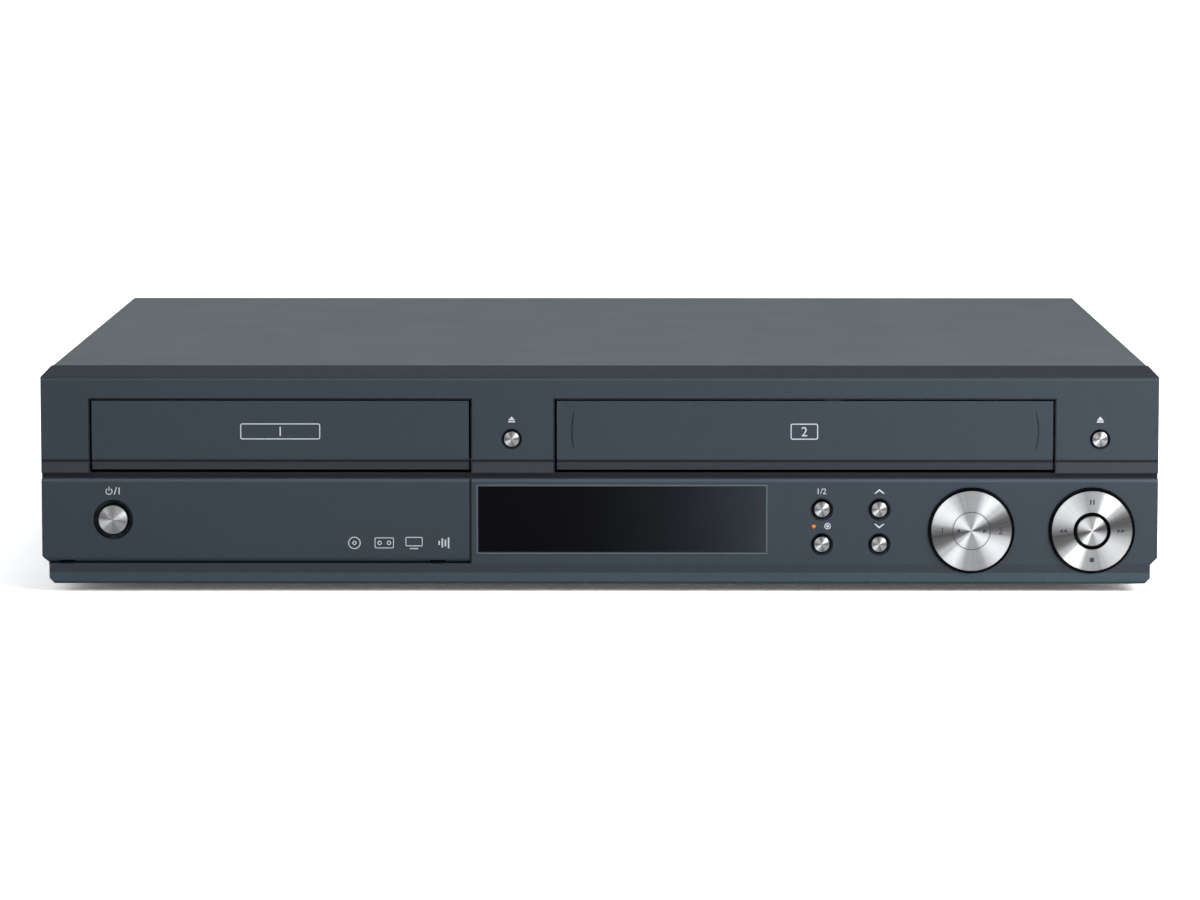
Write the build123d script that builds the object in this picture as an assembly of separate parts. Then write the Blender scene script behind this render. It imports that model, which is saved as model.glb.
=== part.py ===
from build123d import *

# Combination disc and cassette player of hi-fi width: a disc drive on the left, a cassette deck
# on the right, a control panel below them, and the sockets and the fan at the back.
#
# Sizes are in millimetres. X runs to the right as one faces the front, Y to the back and Z up.
# Everything is laid out from the front face at y = 0 and the floor at z = 0, and is moved along
# Y at the end, so that the origin lies under the middle of the whole player.

import math
import os

# ---- Casing --------------------------------------------------------------------------------
COVER_INSET = 3.3           # how far each side of the steel cover stands in from the face
COVER_BACK = 345.0          # from the front face to the cover's rear edge
FOOT_HEIGHT = 3.5           # floor to the lower edge of the front panel
SHEET = 1.0                 # steel of the cover and of the rear panel
PAN_SHEET = 1.2             # steel of the chassis pan
PAN_LIFT = 1.1              # underside of the pan above the lower edge of the front panel
GAP = 0.3                   # plain clearance between neighbouring pieces
SIDE_FLANGE_HEIGHT = 16.0
REAR_LIP_HEIGHT = 10.0      # fold at the back of the cover, over the rear panel
SIDE_VENT_COUNT = 14
SIDE_VENT_WIDTH = 3.0
SIDE_VENT_HEIGHT = 26.0
SIDE_VENT_PITCH = 8.0
SIDE_VENT_START = 190.0     # from the front face to the first slot
FLOOR_VENT_COUNT = 10
FLOOR_VENT_WIDTH = 3.0
FLOOR_VENT_LENGTH = 40.0
FLOOR_VENT_PITCH = 9.0
BEAD_RADIUS = 1.6           # stiffening beads rolled into the pan

# ---- Feet and screws -----------------------------------------------------------------------
FOOT_RADIUS = 12.0
FOOT_TAPER = 2.0
FOOT_SPACING = 330.0
FOOT_FRONT = 45.0
FOOT_BACK = 305.0
SCREW_HEAD_RADIUS = 3.2
SCREW_HEAD_HEIGHT = 1.8
SCREW_SHANK_RADIUS = 1.4
SCREW_HOLE_SLACK = 0.15
SCREW_LENGTH = 6.0

# ---- Front panel ---------------------------------------------------------------------------
CHIN_HEIGHT = 4.3           # recessed band along the lower edge
CHIN_INSET = 2.5
COVE_HEIGHT = 3.3           # slope between the chin and the lower face
LOWER_FACE_HEIGHT = 32.9    # control face
CHANNEL_HEIGHT = 2.3        # dark groove between the upper and lower faces
CHANNEL_DEPTH = 2.2
FIXED_LIP_HEIGHT = 4.8      # sloped lip below the upper face
DOOR_LIP_HEIGHT = 3.5       # the same lip on the two doors
LIP_SLOPE = 1.6             # how far the lip leans back
LIP_GROOVE = 0.5
TOP_RAIL_HEIGHT = 9.2       # face above the doors
BEVEL_RISE = 3.6            # slope from the face up to the top of the cover
BEVEL_RUN = 10.0            # how far the top slope runs back
SIDE_SHOULDER = 2.7         # corner step beside the cove
FACE_WALL = 3.2
SPIGOT_DEPTH = 10.0         # the part of the panel that enters the cover
SPIGOT_WALL = 2.2
SILL_BACK = 14.0            # back edge of the sills under the two doors
DOOR_GAP = 0.8              # round the tray fascia and the cassette flap
RIB = 1.5
BOSS_RADIUS = 2.4

# ---- Doors and flap on the front -----------------------------------------------------------
LEFT_MARGIN = 19.6          # face to the left of the disc door
MIDDLE_MARGIN = 33.9        # face between the two doors
RIGHT_MARGIN = 40.6         # face to the right of the cassette flap
FASCIA_OVERHANG = 4.55      # the disc door stands out past the tray on each side
TAPE_DOOR_MARGIN = 1.4      # the cassette flap is wider than a cassette on each side
TAPE_DOOR_HEADROOM = 1.6    # and higher than one
DOOR_WALL = 2.5
TAPE_HINGE_BACK = 6.0       # hinge line of the cassette flap behind its face
TAPE_HINGE_RISE = 5.2       # and above its upper edge
TAPE_PIN_RADIUS = 1.2
TAPE_HINGE_INSET = 8.0
CRESCENT_INSET = 6.9        # moulded crescents near both ends of the cassette flap
CRESCENT_HEIGHT = 16.0
CRESCENT_BULGE = 1.6
CRESCENT_DEPTH = 0.5
FLAP_OVERLAP = 0.2          # the flap over the inputs ends just past the disc door
FLAP_WALL = 2.4
FLAP_ROLL_RADIUS = 2.6      # rounded lower edge, about the hinge line
FLAP_PIN_RADIUS = 0.9
FLAP_LUG_RADIUS = 1.5
FLAP_SKIN = 0.8
FLAP_NOTCH_LENGTH = 6.2
FLAP_NOTCH_LEFT_INSET = 9.6
FLAP_NOTCH_RIGHT_INSET = 12.3
PIN_SLACK = 0.05            # radial clearance of small pivots

# ---- Buttons, dials and display ------------------------------------------------------------
WINDOW_INSET = 3.4          # window from the flap's split line
WINDOW_TO_KEYS = 21.7
WINDOW_HEIGHT = 25.4
WINDOW_WALL = 2.0
WINDOW_LOW = 12.2           # above the lower edge of the front panel
WINDOW_LEDGE = 4.0
TUBE_WALL = 6.0             # thickness of the display tube
BUTTON_TRAVEL = 0.8
BUTTON_SLACK = 0.2
BUTTON_PROUD = 0.5
BUTTON_FLANGE = 1.2
BUTTON_STEM_RADIUS = 1.6
KEY_CAP_RADIUS = 3.55       # select, record and channel buttons
KEY_WELL_RADIUS = 4.4
DOOR_CAP_RADIUS = 3.25      # disc open and tape eject buttons
DOOR_WELL_RADIUS = 4.0
POWER_CAP_RADIUS = 6.0
POWER_WELL_RADIUS = 7.7
WELL_DEPTH = 1.6
KEY_PITCH = 22.1
KEYS_TO_DIALS = 35.4
KEY_HIGH_Z = 28.8           # heights of what follows are above the panel's lower edge
KEY_LOW_Z = 15.3
LAMP_OFFSET = 3.1           # record lamp beside the left keys' centre line
LAMP_Z = 22.2
LAMP_RADIUS = 0.75
OPEN_BUTTON_INSET = 16.5    # from the disc door
EJECT_BUTTON_INSET = 22.5   # from the side of the face
DOOR_BUTTON_Z = 56.0
POWER_INSET = 27.5
POWER_Z = 24.7
DIAL_RADIUS = 16.0
DIAL_WELL_RADIUS = 16.75
DIAL_PROUD = 2.2
DIAL_WALL = 2.6
DIAL_WELL_DEPTH = 4.5
DIAL_EDGE = 0.6
DIAL_Z = 20.7
DIAL_INSET = 25.4           # centre of the right dial from the side of the face
DIAL_PITCH = 46.4
COPY_DISC_RADIUS = 7.4      # thin ring turned into the copy dial
COPY_HUB_RADIUS = 4.0
RING_HOLE_RADIUS = 7.2
RING_TUBE_WALL = 1.1
PLAY_CAP_RADIUS = 5.8
PLAY_STEM_RADIUS = 2.0
DIAL_PIVOT_BACK = 8.5       # tilt axes of the dials behind the face
DIAL_PIN_RADIUS = 1.0
GIMBAL_WALL = 2.0
GIMBAL_DEPTH = 3.2
BOARD = 1.6                 # circuit board
SWITCH_SIDE = 6.0
SWITCH_HEIGHT = 3.5
SWITCH_PLUNGER_RADIUS = 1.7
SWITCH_PLUNGER = 0.7
SWITCH_GAP = 0.2            # left between stem and plunger at full travel
CONTROL_BOARD_FRONT = 15.0
BOARD_MARGIN = 2.0

# ---- Front inputs behind the flap ----------------------------------------------------------
BAY_LEFT_INSET = 55.0
BAY_RIGHT_INSET = 27.9      # from the flap's split line
BAY_DEPTH = 13.0
BAY_WALL = 1.6
BAY_HEIGHT = 24.0
INPUT_COUNT = 3
INPUT_PITCH = 16.0
INPUT_FIRST_INSET = 14.0
PHONO_RADIUS = 4.15
PHONO_BORE = 1.7
PHONO_LENGTH = 8.0
PHONO_COLLAR_RADIUS = 5.4
PHONO_COLLAR = 1.2
ROUND_INPUT_INSET = 18.0
ROUND_INPUT_RADIUS = 4.8

# ---- Disc drive ----------------------------------------------------------------------------
TRAY_TRAVEL = 135.0
TRAY_HALF = 68.0
TRAY_FRONT = 4.0            # where the tray starts behind the front face
TRAY_LENGTH = 158.0
TRAY_UNDER = 59.0           # floor to the tray's underside
TRAY_WALL = 6.5
DISC_RADIUS = 60.0
SMALL_DISC_RADIUS = 40.0
DISC_SLACK = 0.6
DISC_WELL_DEPTH = 2.0
SMALL_WELL_DEPTH = 0.8
SPINDLE_BACK = 74.0         # disc centre behind the front face, tray closed
SLED_SLOT_HALF = 33.5
SLED_SLOT_BACK = 150.0
LOADER_MARGIN = 4.0
LOADER_FRONT = 16.0
LOADER_BACK = 198.0
LOADER_UNDER = 48.5
LOADER_WALL = 2.0
LOADER_FLOOR = 1.6
LOADER_HEADROOM = 11.5      # from the tray's top to the clamp bridge
TRAY_SLACK = 0.3
BRIDGE_LENGTH = 44.0
BRIDGE_WALL = 1.6
BRIDGE_HOLE_RADIUS = 10.5
GEAR_MODULE = 1.0
GEAR_TEETH = 18
GEAR_PRESSURE = 20.0        # degrees
GEAR_SLACK = 0.35           # backlash
GEAR_FACE = 3.0
RACK_OFFSET = -58.0         # pitch line of the rack from the tray's middle
RACK_BACK_WALL = 3.0
RACK_SPARE_COUNT = 3        # teeth beyond the travel
GEAR_BACK = 28.0
GEAR_BORE = 1.5
PULLEY_RADIUS = 12.0
PULLEY_FACE = 2.6
MOTOR_PULLEY_RADIUS = 3.2
TRAY_MOTOR_RADIUS = 9.0
TRAY_MOTOR_LENGTH = 11.0
MOTOR_SHAFT_RADIUS = 1.0
TRAY_MOTOR_OFFSET = -58.5
TRAY_MOTOR_BACK = 58.0
BELT_WALL = 1.0
TRAVERSE_HALF = 35.0
TRAVERSE_FRONT = 58.0
TRAVERSE_BACK = 168.0
TRAVERSE_UNDER = 47.4
TRAVERSE_WALL = 1.6
TRAVERSE_PIN_RADIUS = 1.5
TURNTABLE_RADIUS = 14.5
TURNTABLE_TOP = 56.7
TURNTABLE_WALL = 1.7
HUB_RADIUS = 7.3
HUB_HEIGHT = 2.0
SPINDLE_RADIUS = 1.2
SPINDLE_MOTOR_RADIUS = 12.0
CLAMPER_RADIUS = 14.0
CLAMPER_NECK_RADIUS = 9.5
SLED_TRAVEL = 33.0
SLED_FRONT = 94.0
SLED_LENGTH = 24.0
SLED_HALF = 19.0
SLED_TOP = 57.0
ROD_OFFSET = 22.5
ROD_RADIUS = 1.5
LENS_RADIUS = 3.2
SCREW_OFFSET = 29.5
LEAD_RADIUS = 1.4
LEAD_PITCH = 3.0
BRACKET_SHEET = 1.5
BRACKET_FOOT = 9.0
BRACKET_RIM = 3.5

# ---- Cassette deck -------------------------------------------------------------------------
CASSETTE_WIDTH = 188.0
CASSETTE_HEIGHT = 25.0
HOLDER_FRONT = 41.0
HOLDER_LENGTH = 56.0
HOLDER_SLACK = 0.5          # beside and above the cassette
HOLDER_SHEET = 1.2
HOLDER_LEDGE = 10.0
SHUTTLE_TRAVEL = 60.0
HOLDER_DROP = 22.0
SHUTTLE_SHEET = 1.2
CARRIAGE_GAP = 0.6
GUIDE_PIN_RADIUS = 1.5
SLOT_SLACK = 0.2
SHUTTLE_BAR_LENGTH = 16.0
CARRIAGE_SHEET = 1.5
CARRIAGE_HEADROOM = 3.5     # between the slot plates and the cover
CARRIAGE_BACK = 170.0
DECK_TOP = 18.0             # floor to the top of the deck plate
DECK_WALL = 1.6
DECK_FRONT = 26.0
DECK_BACK = 248.0
DECK_LEG_RADIUS = 4.0
REEL_SPACING = 92.0
REEL_BACK = 102.0
REEL_FLANGE_RADIUS = 18.0
REEL_FLANGE = 2.0
REEL_HUB_RADIUS = 7.5
REEL_SPINDLE_RADIUS = 5.2
REEL_POST_RADIUS = 2.0
REEL_LIFT = 3.0
REEL_HEIGHT = 18.0
SPLINE_COUNT = 6
DRUM_RADIUS = 31.0
DRUM_X_OFFSET = -8.0
DRUM_BACK = 197.0
DRUM_TILT = 6.0
DRUM_LOWER = 20.0
DRUM_UPPER = 18.0
DRUM_SEAT_RADIUS = 24.0
DRUM_SEAT = 5.0
DRUM_SHAFT_RADIUS = 3.0
CAPSTAN_X_OFFSET = 47.0
CAPSTAN_BACK = 174.0
CAPSTAN_RADIUS = 1.5
CAPSTAN_TOP = 50.0
CAPSTAN_COLLAR_RADIUS = 4.0
FLYWHEEL_RADIUS = 17.5
FLYWHEEL = 4.5
PINCH_PIVOT_X_OFFSET = 74.0
PINCH_PIVOT_BACK = 190.0
PINCH_ROLLER_RADIUS = 6.0
PINCH_ROLLER_HEIGHT = 14.0
PINCH_REACH = 24.0
PINCH_SWING = 20.0
PINCH_ARM_WALL = 2.4
GUIDE_START_OFFSET = 21.0
GUIDE_START_BACK = 150.0
GUIDE_END_OFFSET = 41.0
GUIDE_END_BACK = 200.0
GUIDE_BLOCK_RADIUS = 4.5
GUIDE_BLOCK = 5.0
GUIDE_POLE_RADIUS = 2.5
GUIDE_POLE_HEIGHT = 20.0
GUIDE_KEEL_RADIUS = 1.6
HEAD_HEIGHT = 18.0

# ---- Back of the player --------------------------------------------------------------------
REAR_INSET = 1.4            # outer face of the rear panel in front of the cover's rear edge
BOARD_LIFT = 5.0            # boards above the chassis pan
STANDOFF_RADIUS = 2.5
JACK_COLUMNS = 6
JACK_ROWS = 3
JACK_PITCH_X = 15.0
JACK_PITCH_Z = 15.0
JACK_FIRST_X = -20.0
JACK_FIRST_Z = 24.0
JACK_BLOCK_DEPTH = 12.0
TUNER_X = 148.0
TUNER_WIDTH = 54.0
TUNER_DEPTH = 46.0
TUNER_HEIGHT = 34.0
AERIAL_RADIUS = 4.76
AERIAL_LENGTH = 8.5
AERIAL_BORE = 1.2
AERIAL_PITCH = 22.0
INLET_X = -182.0
INLET_Z = 26.0
INLET_WIDTH = 22.0
INLET_HEIGHT = 14.0
INLET_DEPTH = 18.0
INLET_RECESS = 12.0
INLET_LOBE_RADIUS = 3.9
INLET_LOBE_SPACING = 8.6
INLET_PIN_RADIUS = 1.2
FAN_X = -130.0
FAN_Z = 56.0
FAN_SIDE = 40.0
FAN_DEPTH = 10.0
FAN_BORE_RADIUS = 18.8
FAN_HUB_RADIUS = 8.5
FAN_SHAFT_RADIUS = 1.0
FAN_BLADE_RADIUS = 18.0
FAN_BLADES = 7
FAN_STRUT = 2.2
FAN_HUB_WALL = 1.2
GRILLE_SLOTS = 7
GRILLE_SLOT_WIDTH = 2.6
GRILLE_SLOT_PITCH = 5.0
BOARD_HIGH = 51.0           # floor to the underside of the disc board
CORE_X = 68.0               # middle of the transformer from the power board's corner
CORE_Y = 55.0
CORE_SIZE = (36.0, 30.0, 26.0)
WINDING_SIZE = (44.0, 18.0, 20.0)
RESERVOIR_X = 30.0          # large reservoir capacitor
RESERVOIR_RADIUS = 11.0
RESERVOIR_HEIGHT = 30.0
HEAT_SINK_X = 101.0
HEAT_SINK_SIZE = (2.0, 50.0, 25.0)
OUTPUT_X = 118.0            # row of output capacitors
OUTPUT_PITCH = 20.0
OUTPUT_RADIUS = 5.0
OUTPUT_HEIGHT = 16.0
OUTPUT_COUNT = 3
CHIP_COUNT = 4
CHIP_FIRST = 24.0
CHIP_PITCH = 36.0
CHIP_SIDE = 20.0
CHIP_WALL = 2.0
CHIP_ROW = 18.0             # rows of parts from the front edge of the main board
SMALL_CAN_ROW = 40.0
SMALL_CAN_OFFSET = 16.0
SMALL_CAN_RADIUS = 3.0
SMALL_CAN_HEIGHT = 8.0
CODER_ROW = 44.0            # large chip of the disc board
CODER_SIDE = 28.0
CODER_WALL = 2.4
MEMORY_OFFSET = 34.0
MEMORY_SIZE = (12.0, 20.0, 1.2)
BLADE_WALL = 1.0
BLADE_DEPTH = 3.6
BLADE_LEAN = 40.0           # degrees

# ---- Places that follow from the sizes above -----------------------------------------------
TRAY_WIDTH = 2 * TRAY_HALF
DISC_DOOR_WIDTH = TRAY_WIDTH + 2 * FASCIA_OVERHANG
TAPE_DOOR_WIDTH = CASSETTE_WIDTH + 2 * TAPE_DOOR_MARGIN
FACE_WIDTH = LEFT_MARGIN + DISC_DOOR_WIDTH + MIDDLE_MARGIN + TAPE_DOOR_WIDTH + RIGHT_MARGIN
FACE_HALF = FACE_WIDTH / 2
COVER_WIDTH = FACE_WIDTH - 2 * COVER_INSET
DISC_X = -FACE_HALF + LEFT_MARGIN + DISC_DOOR_WIDTH / 2
TAPE_X = FACE_HALF - RIGHT_MARGIN - TAPE_DOOR_WIDTH / 2
DISC_DOOR_RIGHT = DISC_X + DISC_DOOR_WIDTH / 2
OPEN_BUTTON_X = DISC_DOOR_RIGHT + OPEN_BUTTON_INSET
EJECT_BUTTON_X = FACE_HALF - EJECT_BUTTON_INSET
POWER_X = -FACE_HALF + POWER_INSET
PLAY_X = FACE_HALF - DIAL_INSET
COPY_X = PLAY_X - DIAL_PITCH
KEY_RIGHT_X = COPY_X - KEYS_TO_DIALS
KEY_LEFT_X = KEY_RIGHT_X - KEY_PITCH
LAMP_X = KEY_LEFT_X - LAMP_OFFSET
FLAP_RIGHT = DISC_DOOR_RIGHT + FLAP_OVERLAP
FLAP_NOTCH_LEFT = -FACE_HALF + FLAP_NOTCH_LEFT_INSET
FLAP_NOTCH_RIGHT = FLAP_RIGHT - FLAP_NOTCH_RIGHT_INSET
WINDOW_X = (FLAP_RIGHT + WINDOW_INSET, KEY_LEFT_X - WINDOW_TO_KEYS)
BAY_LEFT = -FACE_HALF + BAY_LEFT_INSET
BAY_RIGHT = FLAP_RIGHT - BAY_RIGHT_INSET
INPUT_FIRST_X = BAY_LEFT + INPUT_FIRST_INSET
ROUND_INPUT_X = BAY_RIGHT - ROUND_INPUT_INSET
DOOR_HEIGHT = CASSETTE_HEIGHT + TAPE_DOOR_HEADROOM
FACE_LOW = FOOT_HEIGHT + CHIN_HEIGHT + COVE_HEIGHT
FACE_MIDDLE = FACE_LOW + LOWER_FACE_HEIGHT
CHANNEL_TOP = FACE_MIDDLE + CHANNEL_HEIGHT
LIP_TOP = CHANNEL_TOP + FIXED_LIP_HEIGHT
DOOR_LOW = LIP_TOP - DOOR_LIP_HEIGHT
DOOR_TOP = DOOR_LOW + DOOR_HEIGHT
FACE_TOP = DOOR_TOP + TOP_RAIL_HEIGHT
HEIGHT = FACE_TOP + BEVEL_RISE
CASSETTE_REST = DOOR_LOW + GAP
COVER_HALF = COVER_WIDTH / 2
COVER_IN = COVER_HALF - SHEET
COVER_FRONT = BEVEL_RUN + GAP
COVER_UNDER = HEIGHT - SHEET
PAN_LOW = FOOT_HEIGHT + PAN_LIFT
PAN_TOP = PAN_LOW + PAN_SHEET
SPIGOT_HALF = COVER_IN - GAP
SPIGOT_LOW = PAN_TOP + GAP
SPIGOT_TOP = COVER_UNDER - GAP
PANEL_BACK = BEVEL_RUN + SPIGOT_DEPTH
REAR_PANEL_BACK = COVER_BACK - REAR_INSET
REAR_PANEL_FRONT = REAR_PANEL_BACK - SHEET
BOARD_BACK = CONTROL_BOARD_FRONT + BOARD
SWITCH_FRONT = CONTROL_BOARD_FRONT - SWITCH_HEIGHT
PLUNGER_FRONT = SWITCH_FRONT - SWITCH_PLUNGER
STEM_END = PLUNGER_FRONT - BUTTON_TRAVEL - SWITCH_GAP
BOARD_LOW = PAN_TOP + BOARD_LIFT
BOARD_TOP = BOARD_LOW + BOARD
FLAP_HINGE_Y = FLAP_ROLL_RADIUS
FLAP_HINGE_Z = FACE_LOW + GAP + FLAP_ROLL_RADIUS
FLAP_WALL_FRONT = FLAP_WALL + 2 * GAP
FLAP_PLATE_BACK = FLAP_WALL_FRONT + FACE_WALL
TAPE_HINGE_Y = TAPE_HINGE_BACK
TAPE_HINGE_Z = DOOR_TOP + TAPE_HINGE_RISE
TRAY_TOP = TRAY_UNDER + TRAY_WALL
LOADER_HALF = TRAY_HALF + LOADER_MARGIN
LOADER_TOP = TRAY_TOP + LOADER_HEADROOM
GEAR_RADIUS = GEAR_MODULE * GEAR_TEETH / 2
RACK_PITCHES = math.ceil(TRAY_TRAVEL / (math.pi * GEAR_MODULE)) + RACK_SPARE_COUNT
GEAR_X = DISC_X + RACK_OFFSET + GEAR_RADIUS
MOTOR_X = DISC_X + TRAY_MOTOR_OFFSET
BELT_Z = TRAY_UNDER - GEAR_FACE - GAP - PULLEY_FACE / 2
CARRIAGE_TOP = COVER_UNDER - CARRIAGE_HEADROOM
HOLDER_HALF = CASSETTE_WIDTH / 2 + HOLDER_SLACK + HOLDER_SHEET
HOLDER_LOW = CASSETTE_REST - HOLDER_SHEET
HOLDER_TOP = CASSETTE_REST + CASSETTE_HEIGHT + HOLDER_SLACK + HOLDER_SHEET
SHUTTLE_IN = HOLDER_HALF + CARRIAGE_GAP
SHUTTLE_OUT = SHUTTLE_IN + SHUTTLE_SHEET
CARRIAGE_IN = SHUTTLE_OUT + CARRIAGE_GAP
CARRIAGE_OUT = CARRIAGE_IN + CARRIAGE_SHEET
CAPSTAN_X = TAPE_X + CAPSTAN_X_OFFSET
PINCH_X = TAPE_X + PINCH_PIVOT_X_OFFSET
DRUM_X = TAPE_X + DRUM_X_OFFSET


# ---- Shapes --------------------------------------------------------------------------------
def block(x, y, z):
    """A box given by its low and high value along each axis."""
    pairs = (x, y, z)
    size = [high - low for low, high in pairs]
    middle = [(high + low) / 2 for low, high in pairs]
    return Pos(*middle) * Box(*size)


def around(middle, half):
    """The pair of values at a distance either side of a middle."""
    return (middle - half, middle + half)


def rod_x(y, z, radius, x):
    """A cylinder along X between the two values of x."""
    return Pos((x[0] + x[1]) / 2, y, z) * Rot(0, 90, 0) * Cylinder(radius, x[1] - x[0])


def rod_y(x, z, radius, y):
    """A cylinder along Y between the two values of y."""
    return Pos(x, (y[0] + y[1]) / 2, z) * Rot(90, 0, 0) * Cylinder(radius, y[1] - y[0])


def rod_z(x, y, radius, z):
    """A cylinder along Z between the two values of z."""
    return Pos(x, y, (z[0] + z[1]) / 2) * Cylinder(radius, z[1] - z[0])


def prism_x(points, x):
    """An outline of (y, z) points run along X."""
    return extrude(Plane.YZ.offset(x[0]) * Polygon(*points, align=None), x[1] - x[0])


def prism_y(points, y):
    """An outline of (x, z) points run along Y."""
    return extrude(Plane.XZ.offset(-y[1]) * Polygon(*points, align=None), y[1] - y[0])


def prism_z(points, z):
    """An outline of (x, y) points run along Z."""
    return extrude(Plane.XY.offset(z[0]) * Polygon(*points, align=None), z[1] - z[0])


def slot_y(x, z, width, height, y):
    """A round-ended slot run along Y, upright if it is higher than wide."""
    turn = 90 if height > width else 0
    shape = SlotOverall(max(width, height), min(width, height), rotation=turn)
    return extrude(Plane.XZ.offset(-y[1]) * Pos(x, z) * shape, y[1] - y[0])


def turned_y(x, z, points):
    """A solid of revolution about an axis along Y, from (radius, y) points."""
    plane = Plane(origin=(x, 0, z), x_dir=(1, 0, 0), z_dir=(0, 0, 1))
    return revolve(plane * Polygon(*points, align=None), Axis((x, 0, z), (0, 1, 0)))


def turned_z(x, y, points):
    """A solid of revolution about an upright axis, from (radius, z) points."""
    plane = Plane(origin=(x, y, 0), x_dir=(1, 0, 0), z_dir=(0, -1, 0))
    return revolve(plane * Polygon(*points, align=None), Axis((x, y, 0), (0, 0, 1)))


def gear_outline(module, teeth, slack, turn):
    """Points of an involute gear round its centre; tooth 0 points along the turn, in radians."""
    pressure = math.radians(GEAR_PRESSURE)
    pitch_radius = module * teeth / 2
    base_radius = pitch_radius * math.cos(pressure)
    root_radius = pitch_radius - 1.25 * module
    start = max(base_radius, root_radius)
    tip_radius = pitch_radius + module
    half = math.pi / (2 * teeth) - slack / (2 * pitch_radius)
    half += math.tan(pressure) - pressure
    flank = []
    for share in (0.0, 0.5, 1.0):
        radius = start + (tip_radius - start) * share
        roll = math.acos(base_radius / radius)
        flank.append((radius, half - (math.tan(roll) - roll)))
    flank.insert(0, (root_radius, flank[0][1]))
    points = []
    for tooth in range(teeth):
        middle = turn + math.tau * tooth / teeth
        rising = [(radius, middle - angle) for radius, angle in flank]
        falling = [(radius, middle + angle) for radius, angle in reversed(flank)]
        for radius, angle in rising + falling:
            points.append((radius * math.cos(angle), radius * math.sin(angle)))
    return points


# ---- Front panel ---------------------------------------------------------------------------
DIALS = ((COPY_X, FOOT_HEIGHT + DIAL_Z), (PLAY_X, FOOT_HEIGHT + DIAL_Z))
KEYS = {
    "select_button": (KEY_LEFT_X, FOOT_HEIGHT + KEY_HIGH_Z, KEY_CAP_RADIUS, KEY_WELL_RADIUS),
    "record_button": (KEY_LEFT_X, FOOT_HEIGHT + KEY_LOW_Z, KEY_CAP_RADIUS, KEY_WELL_RADIUS),
    "channel_up_button": (KEY_RIGHT_X, FOOT_HEIGHT + KEY_HIGH_Z, KEY_CAP_RADIUS, KEY_WELL_RADIUS),
    "channel_down_button": (KEY_RIGHT_X, FOOT_HEIGHT + KEY_LOW_Z, KEY_CAP_RADIUS, KEY_WELL_RADIUS),
    "disc_open_button": (OPEN_BUTTON_X, FOOT_HEIGHT + DOOR_BUTTON_Z, DOOR_CAP_RADIUS, DOOR_WELL_RADIUS),
    "tape_eject_button": (EJECT_BUTTON_X, FOOT_HEIGHT + DOOR_BUTTON_Z, DOOR_CAP_RADIUS, DOOR_WELL_RADIUS),
}
POWER_HEIGHT = FOOT_HEIGHT + POWER_Z
BAY_MIDDLE = FACE_LOW + LOWER_FACE_HEIGHT / 2 + GAP
BAY_Z = around(BAY_MIDDLE, BAY_HEIGHT / 2)
WINDOW_Z = (FOOT_HEIGHT + WINDOW_LOW, FOOT_HEIGHT + WINDOW_LOW + WINDOW_HEIGHT)
CONTROL_BOARD_X = (WINDOW_X[0], PLAY_X + DIAL_RADIUS)
CONTROL_BOARD_Z = (SPIGOT_LOW + SPIGOT_WALL + BOARD_MARGIN, FACE_MIDDLE - BOARD_MARGIN)
OUT = 6.0                   # how far a cut runs past what it cuts


def panel_body():
    """The moulded front without its openings: an open-backed shell with shaped edges."""
    half = FACE_WIDTH / 2
    low_half = half - SIDE_SHOULDER
    right = [
        (low_half - 2, FOOT_HEIGHT),
        (low_half, FOOT_HEIGHT + 2),
        (low_half, FACE_LOW - GAP),
        (half, FACE_LOW - GAP + SIDE_SHOULDER),
        (half, FACE_TOP),
        (COVER_HALF, HEIGHT),
    ]
    left = [(-x, z) for x, z in reversed(right)]
    shell = prism_y(right + left, (0, BEVEL_RUN))
    shell += block(around(0, SPIGOT_HALF), (BEVEL_RUN, PANEL_BACK), (SPIGOT_LOW, SPIGOT_TOP))
    inner = around(0, SPIGOT_HALF - SPIGOT_WALL)
    inner_z = (SPIGOT_LOW + SPIGOT_WALL, SPIGOT_TOP - SPIGOT_WALL)
    shell -= block(inner, (FACE_WALL, PANEL_BACK + OUT), inner_z)
    bevel = [(0, FACE_TOP), (BEVEL_RUN, HEIGHT), (BEVEL_RUN, HEIGHT + OUT), (-OUT, HEIGHT + OUT)]
    shell -= prism_x(bevel + [(-OUT, FACE_TOP)], around(0, FACE_WIDTH))
    return shell


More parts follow.
